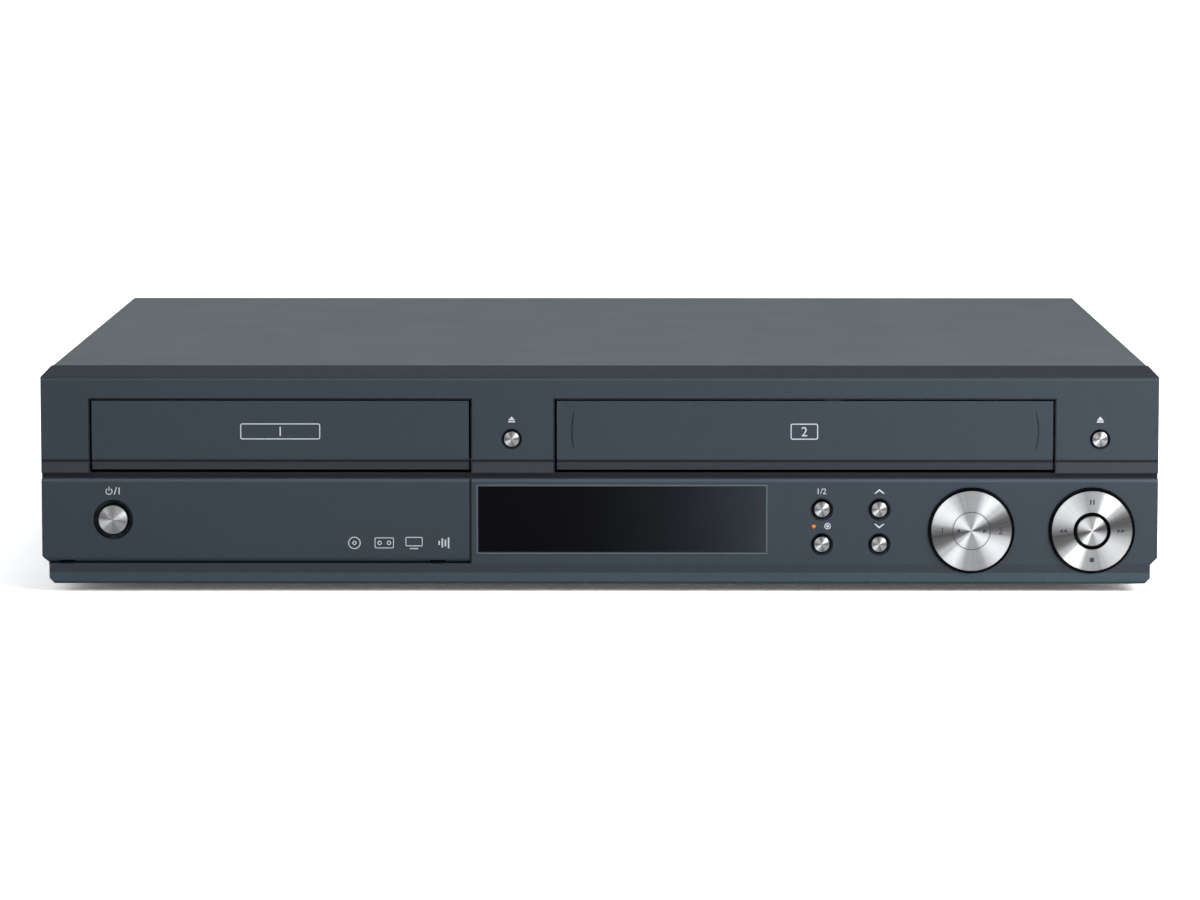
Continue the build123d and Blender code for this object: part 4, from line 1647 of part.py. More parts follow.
def case_screws():
    """Screws of the cover: two at each side and three at the back."""
    screws = []
    for side in (-1, 1):
        for y in COVER_SCREW_YS:
            head = sorted((side * COVER_HALF, side * (COVER_HALF + SCREW_HEAD_HEIGHT)))
            shank = sorted((side * COVER_HALF, side * (COVER_HALF - SCREW_LENGTH)))
            screw = rod_x(y, COVER_SCREW_Z, SCREW_HEAD_RADIUS, head)
            screws.append(screw + rod_x(y, COVER_SCREW_Z, SCREW_SHANK_RADIUS, shank))
    for x in REAR_SCREW_XS:
        head = rod_y(x, REAR_SCREW_Z, SCREW_HEAD_RADIUS, (COVER_BACK, COVER_BACK + SCREW_HEAD_HEIGHT))
        shank = rod_y(x, REAR_SCREW_Z, SCREW_SHANK_RADIUS, (COVER_BACK - SCREW_LENGTH, COVER_BACK))
        screws.append(head + shank)
    return screws


def jack_unit():
    """Rear socket unit: a body on the board and rows of phono sockets through the panel."""
    low = BOARD_TOP
    high = JACK_ZS[-1] + JACK_PITCH_Z / 2
    x = (JACK_XS[0] - JACK_PITCH_X / 2, JACK_XS[-1] + JACK_PITCH_X / 2)
    y = (REAR_PANEL_FRONT - GAP - JACK_BLOCK_DEPTH, REAR_PANEL_FRONT - GAP)
    unit = block(x, y, (low, high))
    for jack_x in JACK_XS:
        for z in JACK_ZS:
            unit += phono_socket(jack_x, z, y[1], 1)
    return unit


def tuner():
    """Screened tuner on the board, with two aerial connectors through the panel."""
    y = (REAR_PANEL_FRONT - GAP - TUNER_DEPTH, REAR_PANEL_FRONT - GAP)
    can = block(around(TUNER_X, TUNER_WIDTH / 2), y, (BOARD_TOP, BOARD_TOP + TUNER_HEIGHT))
    for z in AERIAL_ZS:
        tip = REAR_PANEL_BACK + AERIAL_LENGTH
        can += rod_y(TUNER_X, z, AERIAL_RADIUS, (y[1], tip))
        can -= rod_y(TUNER_X, z, AERIAL_BORE, (tip - OUT, tip))
    return can


def mains_inlet():
    """Two-pole inlet with a recess of two joined circles and its two pins."""
    y = (REAR_PANEL_BACK - INLET_DEPTH, REAR_PANEL_BACK + GAP)
    inlet = block(around(INLET_X, INLET_WIDTH / 2), y, around(INLET_Z, INLET_HEIGHT / 2))
    recess = (y[1] - INLET_RECESS, y[1])
    half = INLET_LOBE_SPACING / 2
    inlet -= block(around(INLET_X, half), recess, around(INLET_Z, INLET_LOBE_RADIUS))
    for side in (-1, 1):
        inlet -= rod_y(INLET_X + side * half, INLET_Z, INLET_LOBE_RADIUS, recess)
    for side in (-1, 1):
        inlet += rod_y(INLET_X + side * half, INLET_Z, INLET_PIN_RADIUS, (recess[0], recess[1] - 2 * RIB))
    bracket_z = (BOARD_TOP, INLET_Z - INLET_HEIGHT / 2)
    return inlet + block(around(INLET_X, INLET_WIDTH / 2 - RIB), (y[0], POWER_BOARD_Y[1]), bracket_z)


FAN_Y = (REAR_PANEL_FRONT - GAP - FAN_DEPTH, REAR_PANEL_FRONT - GAP)
FAN_HUB_BACK = FAN_Y[0] + FAN_HUB_WALL


def fan_frame():
    """Square fan frame with its bore, three struts and the motor seat."""
    side = FAN_SIDE / 2
    frame = block(around(FAN_X, side), FAN_Y, around(FAN_Z, side))
    frame -= rod_y(FAN_X, FAN_Z, FAN_BORE_RADIUS, FAN_Y)
    seat = (FAN_Y[0], FAN_HUB_BACK)
    frame += rod_y(FAN_X, FAN_Z, FAN_HUB_RADIUS, seat)
    for index in range(3):
        strut = block((0, FAN_BORE_RADIUS + 1), seat, around(0, FAN_STRUT / 2))
        frame += Pos(FAN_X, 0, FAN_Z) * Rot(0, 90 + index * 120, 0) * strut
    frame += rod_y(FAN_X, FAN_Z, FAN_SHAFT_RADIUS, (seat[1], FAN_Y[1] - 2 * FAN_HUB_WALL))
    foot_x = around(FAN_X, side)
    tall = (BOARD_TOP, FAN_Z - side)
    return frame + block(foot_x, (FAN_Y[0], FAN_Y[0] + FAN_HUB_WALL), tall)


def fan_rotor():
    """Fan hub with its twisted blades."""
    span = (FAN_HUB_BACK + GAP, FAN_Y[1] - FAN_HUB_WALL)
    bore = (span[0], FAN_Y[1] - 2 * FAN_HUB_WALL + GAP)
    hub = rod_y(0, 0, FAN_HUB_RADIUS, span) - rod_y(0, 0, FAN_SHAFT_RADIUS + PIN_SLACK, bore)
    middle = (span[0] + span[1]) / 2
    for index in range(FAN_BLADES):
        blade_x = (FAN_HUB_RADIUS - FAN_HUB_WALL, FAN_BLADE_RADIUS)
        blade = block(blade_x, around(0, BLADE_WALL / 2), around(0, BLADE_DEPTH))
        lean = Pos(0, middle, 0) * Rot(BLADE_LEAN, 0, 0)
        hub += Rot(0, index * 360 / FAN_BLADES, 0) * lean * blade
    return Pos(FAN_X, 0, FAN_Z) * hub


def on_board(x, y, z, size):
    """A rectangular part that stands on a board at height z, centred on x and y."""
    width, depth, height = size
    return block(around(x, width / 2), around(y, depth / 2), (z, z + height))


def power_board():
    """Power board: transformer, reservoir capacitors and heat sink on a circuit board."""
    board = block(POWER_BOARD_X, POWER_BOARD_Y, (BOARD_LOW, BOARD_TOP))
    x, y = POWER_BOARD_X[0], POWER_BOARD_Y[0] + CORE_Y
    board += on_board(x + CORE_X, y, BOARD_TOP, CORE_SIZE)
    board += on_board(x + CORE_X, y, BOARD_TOP, WINDING_SIZE)
    board += rod_z(x + RESERVOIR_X, y, RESERVOIR_RADIUS, (BOARD_TOP, BOARD_TOP + RESERVOIR_HEIGHT))
    board += on_board(x + HEAT_SINK_X, y, BOARD_TOP, HEAT_SINK_SIZE)
    for index in range(OUTPUT_COUNT):
        row = POWER_BOARD_Y[0] + 1.5 * OUTPUT_PITCH + index * OUTPUT_PITCH
        can_z = (BOARD_TOP, BOARD_TOP + OUTPUT_HEIGHT)
        board += rod_z(x + OUTPUT_X, row, OUTPUT_RADIUS, can_z)
    return board


def av_board():
    """Main board at the back: circuits between the sockets, tuner and both drives."""
    board = block(AV_BOARD_X, AV_BOARD_Y, (BOARD_LOW, BOARD_TOP))
    front = AV_BOARD_Y[0]
    for index in range(CHIP_COUNT):
        x = AV_BOARD_X[0] + CHIP_FIRST + index * CHIP_PITCH
        board += on_board(x, front + CHIP_ROW, BOARD_TOP, (CHIP_SIDE, CHIP_SIDE, CHIP_WALL))
        can_z = (BOARD_TOP, BOARD_TOP + SMALL_CAN_HEIGHT)
        board += rod_z(x + SMALL_CAN_OFFSET, front + SMALL_CAN_ROW, SMALL_CAN_RADIUS, can_z)
    return board


def disc_board():
    """Board of the disc recorder, on posts above the power board."""
    z = (BOARD_HIGH, BOARD_HIGH + BOARD)
    board = block(POWER_BOARD_X, DISC_BOARD_Y, z)
    for x in (POWER_BOARD_X[0] + POST_INSET, POWER_BOARD_X[1] - POST_INSET):
        for y in (DISC_BOARD_Y[0] + 3 * POST_INSET, DISC_BOARD_Y[1] - POST_INSET):
            board += rod_z(x, y, STANDOFF_RADIUS, (BOARD_TOP, z[0]))
    middle = (POWER_BOARD_X[0] + POWER_BOARD_X[1]) / 2
    row = DISC_BOARD_Y[0] + CODER_ROW
    board += on_board(middle, row, z[1], (CODER_SIDE, CODER_SIDE, CODER_WALL))
    for side in (-1, 1):
        board += on_board(middle + side * MEMORY_OFFSET, row, z[1], MEMORY_SIZE)
    return board


def main_boards():
    """The three circuit boards behind the drives."""
    return [power_board(), av_board(), disc_board()]


# ---- Writing the pieces --------------------------------------------------------------------
BUTTONS = {name: (x, z, cap, FACE_WALL) for name, (x, z, cap, well) in KEYS.items()}
BUTTONS["power_button"] = (POWER_X, POWER_HEIGHT, POWER_CAP_RADIUS, FLAP_PLATE_BACK)
SINGLES = (
    top_cover, chassis_pan, rear_panel, front_panel, input_flap, cassette_flap, tray_fascia,
    copy_rocker, play_ring, ring_gimbal, play_button, display_window, display_tube,
    record_lamp, input_jacks, drive_bracket, loader_frame, clamp_bridge, disc_tray,
    tray_drive_gear, motor_pulley, tray_motor, drive_belt, traverse_plate, lead_screw,
    pickup_sled, turntable, clamper, deck_plate, carriage_shuttle, cassette_holder, drum_base,
    drum_rotor, capstan, pinch_arm, pinch_roller, jack_unit, tuner, mains_inlet, fan_frame,
    fan_rotor,
)
GROUPS = (feet, case_screws, key_switches, control_boards, slot_plates, tape_heads, main_boards)
FRONT_MOST = -DIAL_PROUD - BUTTON_PROUD - GAP
BACK_MOST = REAR_PANEL_BACK + AERIAL_LENGTH
MIDDLE_Y = (FRONT_MOST + BACK_MOST) / 2


def write(name, shapes):
    """Moves the shapes of one piece to the origin's place and writes them to one file."""
    solids = [solid for shape in shapes for solid in shape.solids()]
    placed = [solid.moved(Location((0, -MIDDLE_Y, 0))) for solid in solids]
    piece = placed[0] if len(placed) == 1 else Compound(children=placed)
    export_step(piece, f"parts/{name}.step")


def main():
    """Builds every piece of the player."""
    os.makedirs("parts", exist_ok=True)
    for make in SINGLES:
        write(make.__name__, [make()])
    for make in GROUPS:
        write(make.__name__, make())
    for name, (x, z, cap, wall) in BUTTONS.items():
        write(name, [push_button(x, z, cap, wall)])
    for name, side in (("supply_reel", -1), ("take_up_reel", 1)):
        write(name, [reel(side)])
    for name, side in (("supply_guide", -1), ("take_up_guide", 1)):
        write(name, [tape_guide(side)])


main()
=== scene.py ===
"""Looks of a hi-fi width disc and cassette player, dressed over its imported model."""

import logging
import math
from dataclasses import dataclass, field
from enum import Enum
from typing import Any, Iterable, Sequence

import bmesh
import bpy
from mathutils import Matrix, Quaternion, Vector


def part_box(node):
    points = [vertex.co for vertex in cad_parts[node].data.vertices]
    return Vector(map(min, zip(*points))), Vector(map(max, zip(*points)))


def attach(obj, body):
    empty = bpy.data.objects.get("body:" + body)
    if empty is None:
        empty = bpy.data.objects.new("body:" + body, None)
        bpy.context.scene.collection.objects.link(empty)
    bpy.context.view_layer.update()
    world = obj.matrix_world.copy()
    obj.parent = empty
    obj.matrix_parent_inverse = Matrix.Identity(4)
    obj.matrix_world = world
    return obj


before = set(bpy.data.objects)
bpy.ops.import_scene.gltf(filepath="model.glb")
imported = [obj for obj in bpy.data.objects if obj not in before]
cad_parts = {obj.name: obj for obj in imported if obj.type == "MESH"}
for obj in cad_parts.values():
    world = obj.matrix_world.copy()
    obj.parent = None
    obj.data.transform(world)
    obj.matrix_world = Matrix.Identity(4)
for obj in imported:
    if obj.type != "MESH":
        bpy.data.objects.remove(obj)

logging.basicConfig(level=logging.INFO, format="%(message)s")
log = logging.getLogger("player")

MM = 0.001
NOISE_LOW, NOISE_HIGH = 0.3, 0.7  # most values of a noise lie between these
SPECK_DETAIL = 3.0
DRIFT_SIZE = 0.05  # slow changes of tone across a moulding, in metres
GLOSS_SIZE = 0.006  # patches with their own gloss, in metres
FACE_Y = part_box("front_panel")[0].y
INK_PROUD, INK_THICK = 0.04, 0.06  # millimetres in front of a face, and through the ink
CORNER_STEPS = 4  # straight parts of a rounded corner
REAR_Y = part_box("rear_panel")[1].y
Colour = tuple[float, float, float]
Outline = Sequence[tuple[float, float]]
Place = tuple[float, float, float]
Socket = bpy.types.NodeSocket
Material = bpy.types.Material
Mesh = bmesh.types.BMesh
PaintedLightWedges = tuple[tuple[float, float, float], ...]


def srgb(red: float, green: float, blue: float) -> Colour:
    """Turns a display colour of 0 to 255 into the linear values that shaders use.

    Args:
        red: Red of the display colour.
        green: Green of the display colour.
        blue: Blue of the display colour.

    Returns:
        The linear colour.
    """

    def linear(value: float) -> float:
        """Linear value of one channel."""
        share = value / 255
        return share / 12.92 if share <= 0.04045 else ((share + 0.055) / 1.055) ** 2.4

    return linear(red), linear(green), linear(blue)


def scaled(colour: Colour, factor: float) -> Colour:
    """A colour made lighter or darker by a factor."""
    return tuple(min(channel * factor, 1.0) for channel in colour)


class Axis(Enum):
    """Axes of the frame, by their place in a vector."""

    X = 0
    Y = 1
    Z = 2

    @property
    def vector(self) -> Vector:
        """Unit vector along the axis."""
        return Vector([1.0 if index == self.value else 0.0 for index in range(3)])


class Graph:
    """A material's node tree, with short calls for the nodes that the finishes use."""

    def __init__(self, name: str) -> None:
        """Starts a material.

        Args:
            name: The material's name.
        """
        self.material = bpy.data.materials.new(name)
        self.material.use_nodes = True
        self.nodes = self.material.node_tree.nodes
        self.links = self.material.node_tree.links
        self.shader = self.nodes["Principled BSDF"]
        self.place = self.nodes.new("ShaderNodeTexCoord").outputs["Object"]

    def feed(self, socket: Socket, value: Any) -> None:
        """Gives an input a linked socket, a colour or a number."""
        if isinstance(value, Socket):
            self.links.new(value, socket)
        elif socket.type == "RGBA":
            socket.default_value = (*value, 1.0)
        elif socket.type == "VECTOR":
            socket.default_value = tuple(value)
        else:
            socket.default_value = value

    def fix(self, **values: Any) -> None:
        """Sets constant values on the shader's own sockets, named with underscores."""
        for name, value in values.items():
            self.feed(self.shader.inputs[name.replace("_", " ")], value)

    def calc(self, operation: str, first: Any, second: Any = 0.0, clamp: bool = False) -> Socket:
        """One step of arithmetic on numbers.

        Args:
            operation: The Math node's operation.
            first: First value or socket.
            second: Second value or socket.
            clamp: Whether the result is kept between 0 and 1.

        Returns:
            The socket with the result.
        """
        node = self.nodes.new("ShaderNodeMath")
        node.operation = operation
        node.use_clamp = clamp
        self.feed(node.inputs[0], first)
        self.feed(node.inputs[1], second)
        return node.outputs[0]

    def vector(self, operation: str, first: Any, second: Any = (0, 0, 0)) -> Socket:
        """One step of arithmetic on vectors.

        Args:
            operation: The Vector Math node's operation.
            first: First vector or socket.
            second: Second vector or socket.

        Returns:
            The socket with the result, a number for LENGTH and DOT_PRODUCT.
        """
        node = self.nodes.new("ShaderNodeVectorMath")
        node.operation = operation
        self.feed(node.inputs[0], first)
        self.feed(node.inputs[1], second)
        return node.outputs[1 if operation in ("LENGTH", "DOT_PRODUCT") else 0]

    def split(self, vector: Socket) -> list[Socket]:
        """The three parts of a vector."""
        node = self.nodes.new("ShaderNodeSeparateXYZ")
        self.feed(node.inputs[0], vector)
        return list(node.outputs)

    def joined(self, x: Any, y: Any, z: Any) -> Socket:
        """A vector put together from three values."""
        node = self.nodes.new("ShaderNodeCombineXYZ")
        for socket, value in zip(node.inputs, (x, y, z)):
            self.feed(socket, value)
        return node.outputs[0]

    def stretched(self, factors: Sequence[float]) -> Socket:
        """Object coordinates multiplied along each axis."""
        return self.vector("MULTIPLY", self.place, tuple(factors))

    def noise(self, size: float, detail: float = 2.0, place: Any = None) -> Socket:
        """Soft noise.

        Args:
            size: Size of its features in metres.
            detail: Octaves of finer noise.
            place: Coordinates, or none for Object coordinates.

        Returns:
            The socket with values round 0.5.
        """
        node = self.nodes.new("ShaderNodeTexNoise")
        node.inputs["Scale"].default_value = 1.0 / size
        node.inputs["Detail"].default_value = detail
        self.feed(node.inputs["Vector"], place or self.place)
        return node.outputs["Fac"]

    def cells(self, size: float, feature: str = "F1") -> Socket:
        """Random values in irregular cells.

        Args:
            size: Size of a cell in metres.
            feature: The Voronoi node's feature.

        Returns:
            The socket with a random colour for F1, or a distance for other features.
        """
        node = self.nodes.new("ShaderNodeTexVoronoi")
        node.feature = feature
        node.inputs["Scale"].default_value = 1.0 / size
        self.feed(node.inputs["Vector"], self.place)
        return node.outputs["Color" if feature == "F1" else "Distance"]

    def spread(
        self, value: Any, low: float, high: float, to_low: float, to_high: float
    ) -> Socket:
        """Maps a range of values onto another one, held at its ends."""
        node = self.nodes.new("ShaderNodeMapRange")
        for socket, item in zip(node.inputs[:5], (value, low, high, to_low, to_high)):
            self.feed(socket, item)
        return node.outputs[0]

    def vary(self, noise: Any, low: float, high: float) -> Socket:
        """Maps the usual range of a noise onto another one."""
        return self.spread(noise, NOISE_LOW, NOISE_HIGH, low, high)

    def surface(self, colour: Any, roughness: Any) -> None:
        """Feeds the shader's colour and roughness."""
        self.feed(self.shader.inputs["Base Color"], colour)
        self.feed(self.shader.inputs["Roughness"], roughness)

    def mix(self, share: Any, first: Any, second: Any) -> Socket:
        """A colour between two colours.

        Args:
            share: How much of the second colour.
            first: Colour or socket at share 0.
            second: Colour or socket at share 1.

        Returns:
            The socket with the mixed colour.
        """
        node = self.nodes.new("ShaderNodeMix")
        node.data_type = "RGBA"
        self.feed(node.inputs["Factor"], share)
        ends = [socket for socket in node.inputs if socket.type == "RGBA"]
        self.feed(ends[0], first)
        self.feed(ends[1], second)
        return next(socket for socket in node.outputs if socket.type == "RGBA")

    def blend(self, first: Any, second: Any, share: float) -> Socket:
        """A number between two numbers, with a share of the second."""
        kept = self.calc("MULTIPLY", first, 1 - share)
        return self.calc("ADD", kept, self.calc("MULTIPLY", second, share))

    def between(self, value: Any, low: float, high: float) -> Socket:
        """1 where a value lies between two limits, else 0."""
        above = self.calc("GREATER_THAN", value, low)
        return self.calc("MULTIPLY", above, self.calc("LESS_THAN", value, high))

    def bump(self, height: Any, depth: float, strength: float = 1.0) -> None:
        """Raises the surface by a height socket times a depth in metres."""
        node = self.nodes.new("ShaderNodeBump")
        node.inputs["Strength"].default_value = strength
        node.inputs["Distance"].default_value = depth
        self.feed(node.inputs["Height"], height)
        self.links.new(node.outputs["Normal"], self.shader.inputs["Normal"])


# ---- Finishes ------------------------------------------------------------------------------
@dataclass(frozen=True)
class Finish:
    """A look that builds its own material.

    Attributes:
        name: The material's name.
    """

    name: str

    def fill(self, graph: Graph) -> None:
        """Adds the finish's nodes."""
        raise NotImplementedError

    def material(self) -> Material:
        """Builds the finish."""
        graph = Graph(self.name)
        self.fill(graph)
        return graph.material


@dataclass(frozen=True)
class Moulded(Finish):
    """Moulded or painted plastic with a fine grain.

    Attributes:
        colour: Base colour.
        roughness: Middle roughness.
        grain: Size of the mould grain in metres.
        depth: Depth of the grain in metres.
        specular: Strength of the plain reflection.
    """

    colour: Colour
    roughness: float = 0.5
    grain: float = 0.0004
    depth: float = 0.000008
    specular: float = 0.4

    def fill(self, graph: Graph) -> None:
        """Adds the finish's nodes."""
        fine = graph.noise(self.grain, SPECK_DETAIL)
        share = graph.vary(fine, 0, 1)
        speck = graph.mix(share, scaled(self.colour, 0.9), scaled(self.colour, 1.1))
        drift = graph.vary(graph.noise(DRIFT_SIZE), 0.0, 0.25)
        gloss = graph.noise(GLOSS_SIZE, SPECK_DETAIL)
        rough = graph.vary(gloss, self.roughness - 0.04, self.roughness + 0.04)
        graph.surface(graph.mix(drift, speck, scaled(self.colour, 0.93)), rough)
        graph.fix(Specular_IOR_Level=self.specular)
        graph.bump(fine, self.depth)


@dataclass(frozen=True)
class PaintedLightBand:
    """A level strip of a moulding, made lighter for painted highlights and reflections and darker
    for painted shade.

    Attributes:
        low: Its lower edge in millimetres above the floor.
        high: Its upper edge.
        tint: Factor on red, green and blue.
    """

    low: float
    high: float
    tint: Colour


@dataclass(frozen=True)
class FrontPaint(Finish):
    """Satin paint on the moulded front, with level bands of painted highlight on its rounded
    edges, painted reflection on the lip and chin, and painted shade in its grooves.

    Attributes:
        colour: Paint colour.
        bands: Strips along the front tinted as painted highlights, painted reflections and painted
            shade.
        roughness: Middle roughness.
        specular: Strength of the plain reflection.
        grain: Size of the paint's specks in metres.
        depth: Their height in metres.
        soft: Width over which a band starts, in metres.
    """

    colour: Colour
    bands: tuple[PaintedLightBand, ...]
    roughness: float = 0.42
    specular: float = 0.3
    grain: float = 0.0004
    depth: float = 0.000006
    soft: float = 0.00025

    def fill(self, graph: Graph) -> None:
        """Adds the finish's nodes."""
        fine = graph.noise(self.grain, SPECK_DETAIL)
        broad = graph.vary(graph.noise(DRIFT_SIZE), 0.97, 1.03)
        speck = graph.calc("MULTIPLY", graph.vary(fine, 0.9, 1.1), broad)
        colour = graph.vector("MULTIPLY", self.colour, graph.joined(speck, speck, speck))
        height = graph.split(graph.place)[2]
        # Painted light: each band multiplies the colour, lighter for painted highlights and
        # reflections, darker for painted shade.
        for band in self.bands:
            low, high = band.low * MM, band.high * MM
            rise = graph.spread(height, low - self.soft, low + self.soft, 0, 1)
            fall = graph.spread(height, high - self.soft, high + self.soft, 1, 0)
            painted_light_colour = graph.vector("MULTIPLY", colour, band.tint)
            colour = graph.mix(graph.calc("MULTIPLY", rise, fall), colour, painted_light_colour)
        gloss = graph.noise(GLOSS_SIZE, SPECK_DETAIL)
        rough = graph.vary(gloss, self.roughness - 0.04, self.roughness + 0.04)
        graph.surface(colour, rough)
        graph.fix(Specular_IOR_Level=self.specular)
        graph.bump(fine, self.depth)


@dataclass(frozen=True)
class PaintedSheet(Finish):
    """Steel sheet under textured paint.

    Attributes:
        colour: Paint colour.
        roughness: Middle roughness.
        pebble: Size of the paint's pebbles in metres.
        depth: Height of the pebbles in metres.
        specular: Strength of the plain reflection.
        shine: Its tint.
    """

    colour: Colour
    roughness: float = 0.55
    pebble: float = 0.0007
    depth: float = 0.00003
    specular: float = 0.3
    shine: Colour = (0.8, 0.95, 1.0)

    def fill(self, graph: Graph) -> None:
        """Adds the finish's nodes."""
        pebbles = graph.noise(self.pebble, 1.0)
        shade = graph.spread(pebbles, 0.35, 0.65, 0, 1)
        base = graph.mix(shade, scaled(self.colour, 0.88), scaled(self.colour, 1.1))
        broad = graph.spread(graph.noise(0.12, 2.0), 0.35, 0.65, 0.0, 0.15)
        gloss = graph.noise(0.03, SPECK_DETAIL)
        rough = graph.vary(gloss, self.roughness - 0.01, self.roughness + 0.015)
        graph.surface(graph.mix(broad, base, scaled(self.colour, 1.08)), rough)
        graph.fix(Specular_IOR_Level=self.specular, Specular_Tint=self.shine)
        graph.bump(pebbles, self.depth)


@dataclass(frozen=True)
class PlatedSheet(Finish):
    """Zinc-plated or tinned sheet with faint crystals and rolling marks.

    Attributes:
        colour: Metal colour.
        roughness: Middle roughness.
        spangle: Size of a crystal in metres.
        contrast: How much crystals differ.
    """

    colour: Colour
    roughness: float = 0.36
    spangle: float = 0.006
    contrast: float = 0.12

    def fill(self, graph: Graph) -> None:
        """Adds the finish's nodes."""
        crystal = graph.split(graph.cells(self.spangle))[0]
        rolled = graph.noise(0.002, 4.0, graph.stretched((1.0, 0.06, 1.0)))
        shade = graph.blend(crystal, rolled, 0.4)
        dark = scaled(self.colour, 1 - self.contrast)
        rough = graph.spread(shade, 0.2, 0.8, self.roughness - 0.07, self.roughness + 0.1)
        graph.surface(graph.mix(shade, dark, scaled(self.colour, 1.04)), rough)
        graph.fix(Metallic=1.0)
        graph.bump(rolled, 0.000004)


@dataclass(frozen=True)
class Turned(Finish):
    """Metal turned or spun about an axis, with fine rings that stretch its highlights.

    Attributes:
        centre: A point on the axis, in metres.
        axis: Direction of the axis.
        colour: Metal colour.
        roughness: Middle roughness.
        pitch: Width of one ring in metres.
        depth: Depth of the rings in metres.
        anisotropy: How far highlights stretch.
        streak: How much brightness changes round the axis.
        painted_light_wedges: Pairs of opposite wedges of painted highlight and painted shade,
            brighter or darker: degrees, half width, gain.
        shade_rim_radius: Radius of a near-black ring of painted shade at the rim in metres, or 0.
        darkest: Least brightness of a fan.
        brightest: Most brightness of its strongest channel.
    """

    centre: Vector
    axis: Axis = Axis.Y
    colour: Colour = (0.6, 0.6, 0.6)
    roughness: float = 0.3
    pitch: float = 0.00022
    depth: float = 0.000004
    anisotropy: float = 0.85
    streak: float = 0.12
    painted_light_wedges: PaintedLightWedges = ()
    shade_rim_radius: float = 0.0
    darkest: float = 0.08
    brightest: float = 0.98

    def fill(self, graph: Graph) -> None:
        """Adds the finish's nodes."""
        out = graph.vector("SUBTRACT", graph.place, tuple(self.centre))
        axis = tuple(self.axis.vector)
        around = graph.vector("CROSS_PRODUCT", axis, out)
        radius = graph.vector("LENGTH", around)
        tangent = graph.vector("NORMALIZE", graph.vector("CROSS_PRODUCT", around, axis))
        rings = graph.noise(self.pitch, 3.0, graph.joined(radius, 0.0, 0.0))
        ray = graph.noise(0.1, 3.0, tangent)
        shade = graph.blend(rings, ray, 0.6)
        level = graph.vary(shade, 1 - self.streak, 1 + self.streak)
        # Painted highlight and painted shade: opposite wedges round the axis lighten or darken the
        # base colour.
        for degrees, half_width, gain in self.painted_light_wedges:
            turn = math.radians(degrees)
            toward = (math.cos(turn), 0.0, math.sin(turn))
            close = graph.calc("ABSOLUTE", graph.vector("DOT_PRODUCT", tangent, toward))
            inside = graph.spread(close, math.cos(math.radians(half_width)), 1.0, 0.0, gain)
            level = graph.calc("ADD", level, inside)
        level = graph.calc("MAXIMUM", level, self.darkest)
        level = graph.calc("MINIMUM", level, self.brightest / max(self.colour))
        colour = graph.vector("MULTIPLY", self.colour, graph.joined(level, level, level))
        # Painted shade: beyond this radius the colour turns near black, standing in for the shadow
        # in the gap round the part.
        if self.shade_rim_radius:
            rim = graph.spread(radius, self.shade_rim_radius - 0.0002, self.shade_rim_radius, 0, 1)
            colour = graph.mix(rim, colour, scaled(self.colour, 0.02))
        graph.surface(colour, graph.vary(rings, self.roughness - 0.05, self.roughness + 0.05))
        graph.fix(Metallic=1.0, Anisotropic=self.anisotropy)
        graph.links.new(tangent, graph.shader.inputs["Tangent"])
        graph.bump(rings, self.depth)


@dataclass(frozen=True)
class Smoked(Finish):
    """Polished smoked acrylic, lighter towards its right end as a painted reflection, uneven in
    its gloss.

    Attributes:
        colour: Colour at the left end.
        reflection_colour: Colour at the right end, lightened as a painted reflection.
        span: Places of both ends along x, in metres.
        roughness: Middle roughness.
        specular: Strength of the plain reflection.
        fall: How late the painted reflection grows along the span; 1 is evenly.
    """

    colour: Colour
    reflection_colour: Colour
    span: tuple[float, float]
    roughness: float = 0.06
    specular: float = 0.06
    fall: float = 3.2

    def fill(self, graph: Graph) -> None:
        """Adds the finish's nodes."""
        wave = graph.noise(0.04, 2.0)
        # Painted reflection: the colour lightens from the left end to the right along x.
        share = graph.spread(graph.split(graph.place)[0], self.span[0], self.span[1], 0, 1)
        share = graph.calc("MULTIPLY", share, graph.spread(wave, 0.2, 0.8, 0.9, 1.1))
        share = graph.calc("POWER", share, self.fall)
        rough = graph.vary(graph.noise(0.01, 4.0), self.roughness * 0.6, self.roughness * 1.6)
        graph.surface(graph.mix(share, self.colour, self.reflection_colour), rough)
        graph.fix(Specular_IOR_Level=self.specular, IOR=1.49)
        graph.bump(wave, 0.00001, 0.3)


@dataclass(frozen=True)
class Ink(Finish):
    """Screen-printed ink, a little thin in places.

    Attributes:
        colour: Ink colour.
        roughness: Roughness where the ink is full.
        thin: Brightness where it is thin.
    """

    colour: Colour
    roughness: float = 0.55
    thin: float = 0.85

    def fill(self, graph: Graph) -> None:
        """Adds the finish's nodes."""
        cover = graph.spread(graph.noise(0.0003, SPECK_DETAIL), 0.35, 0.6, 0, 1)
        colour = graph.mix(cover, scaled(self.colour, self.thin), self.colour)
        graph.surface(colour, graph.spread(cover, 0, 1, self.roughness + 0.1, self.roughness))
        graph.fix(Specular_IOR_Level=0.3)


@dataclass(frozen=True)
class Rubber(Finish):
    """Matt black rubber with a dusty bloom.

    Attributes:
        colour: Clean rubber.
        dust: How much lighter the bloom is.
    """

    colour: Colour
    dust: float = 2.2

    def fill(self, graph: Graph) -> None:
        """Adds the finish's nodes."""
        bloom = graph.noise(0.004, 4.0)
        colour = graph.mix(bloom, self.colour, scaled(self.colour, self.dust))
        graph.surface(colour, graph.vary(bloom, 0.75, 0.92))
        graph.fix(Specular_IOR_Level=0.3)
        graph.bump(graph.noise(0.0008, 3.0), 0.00002)


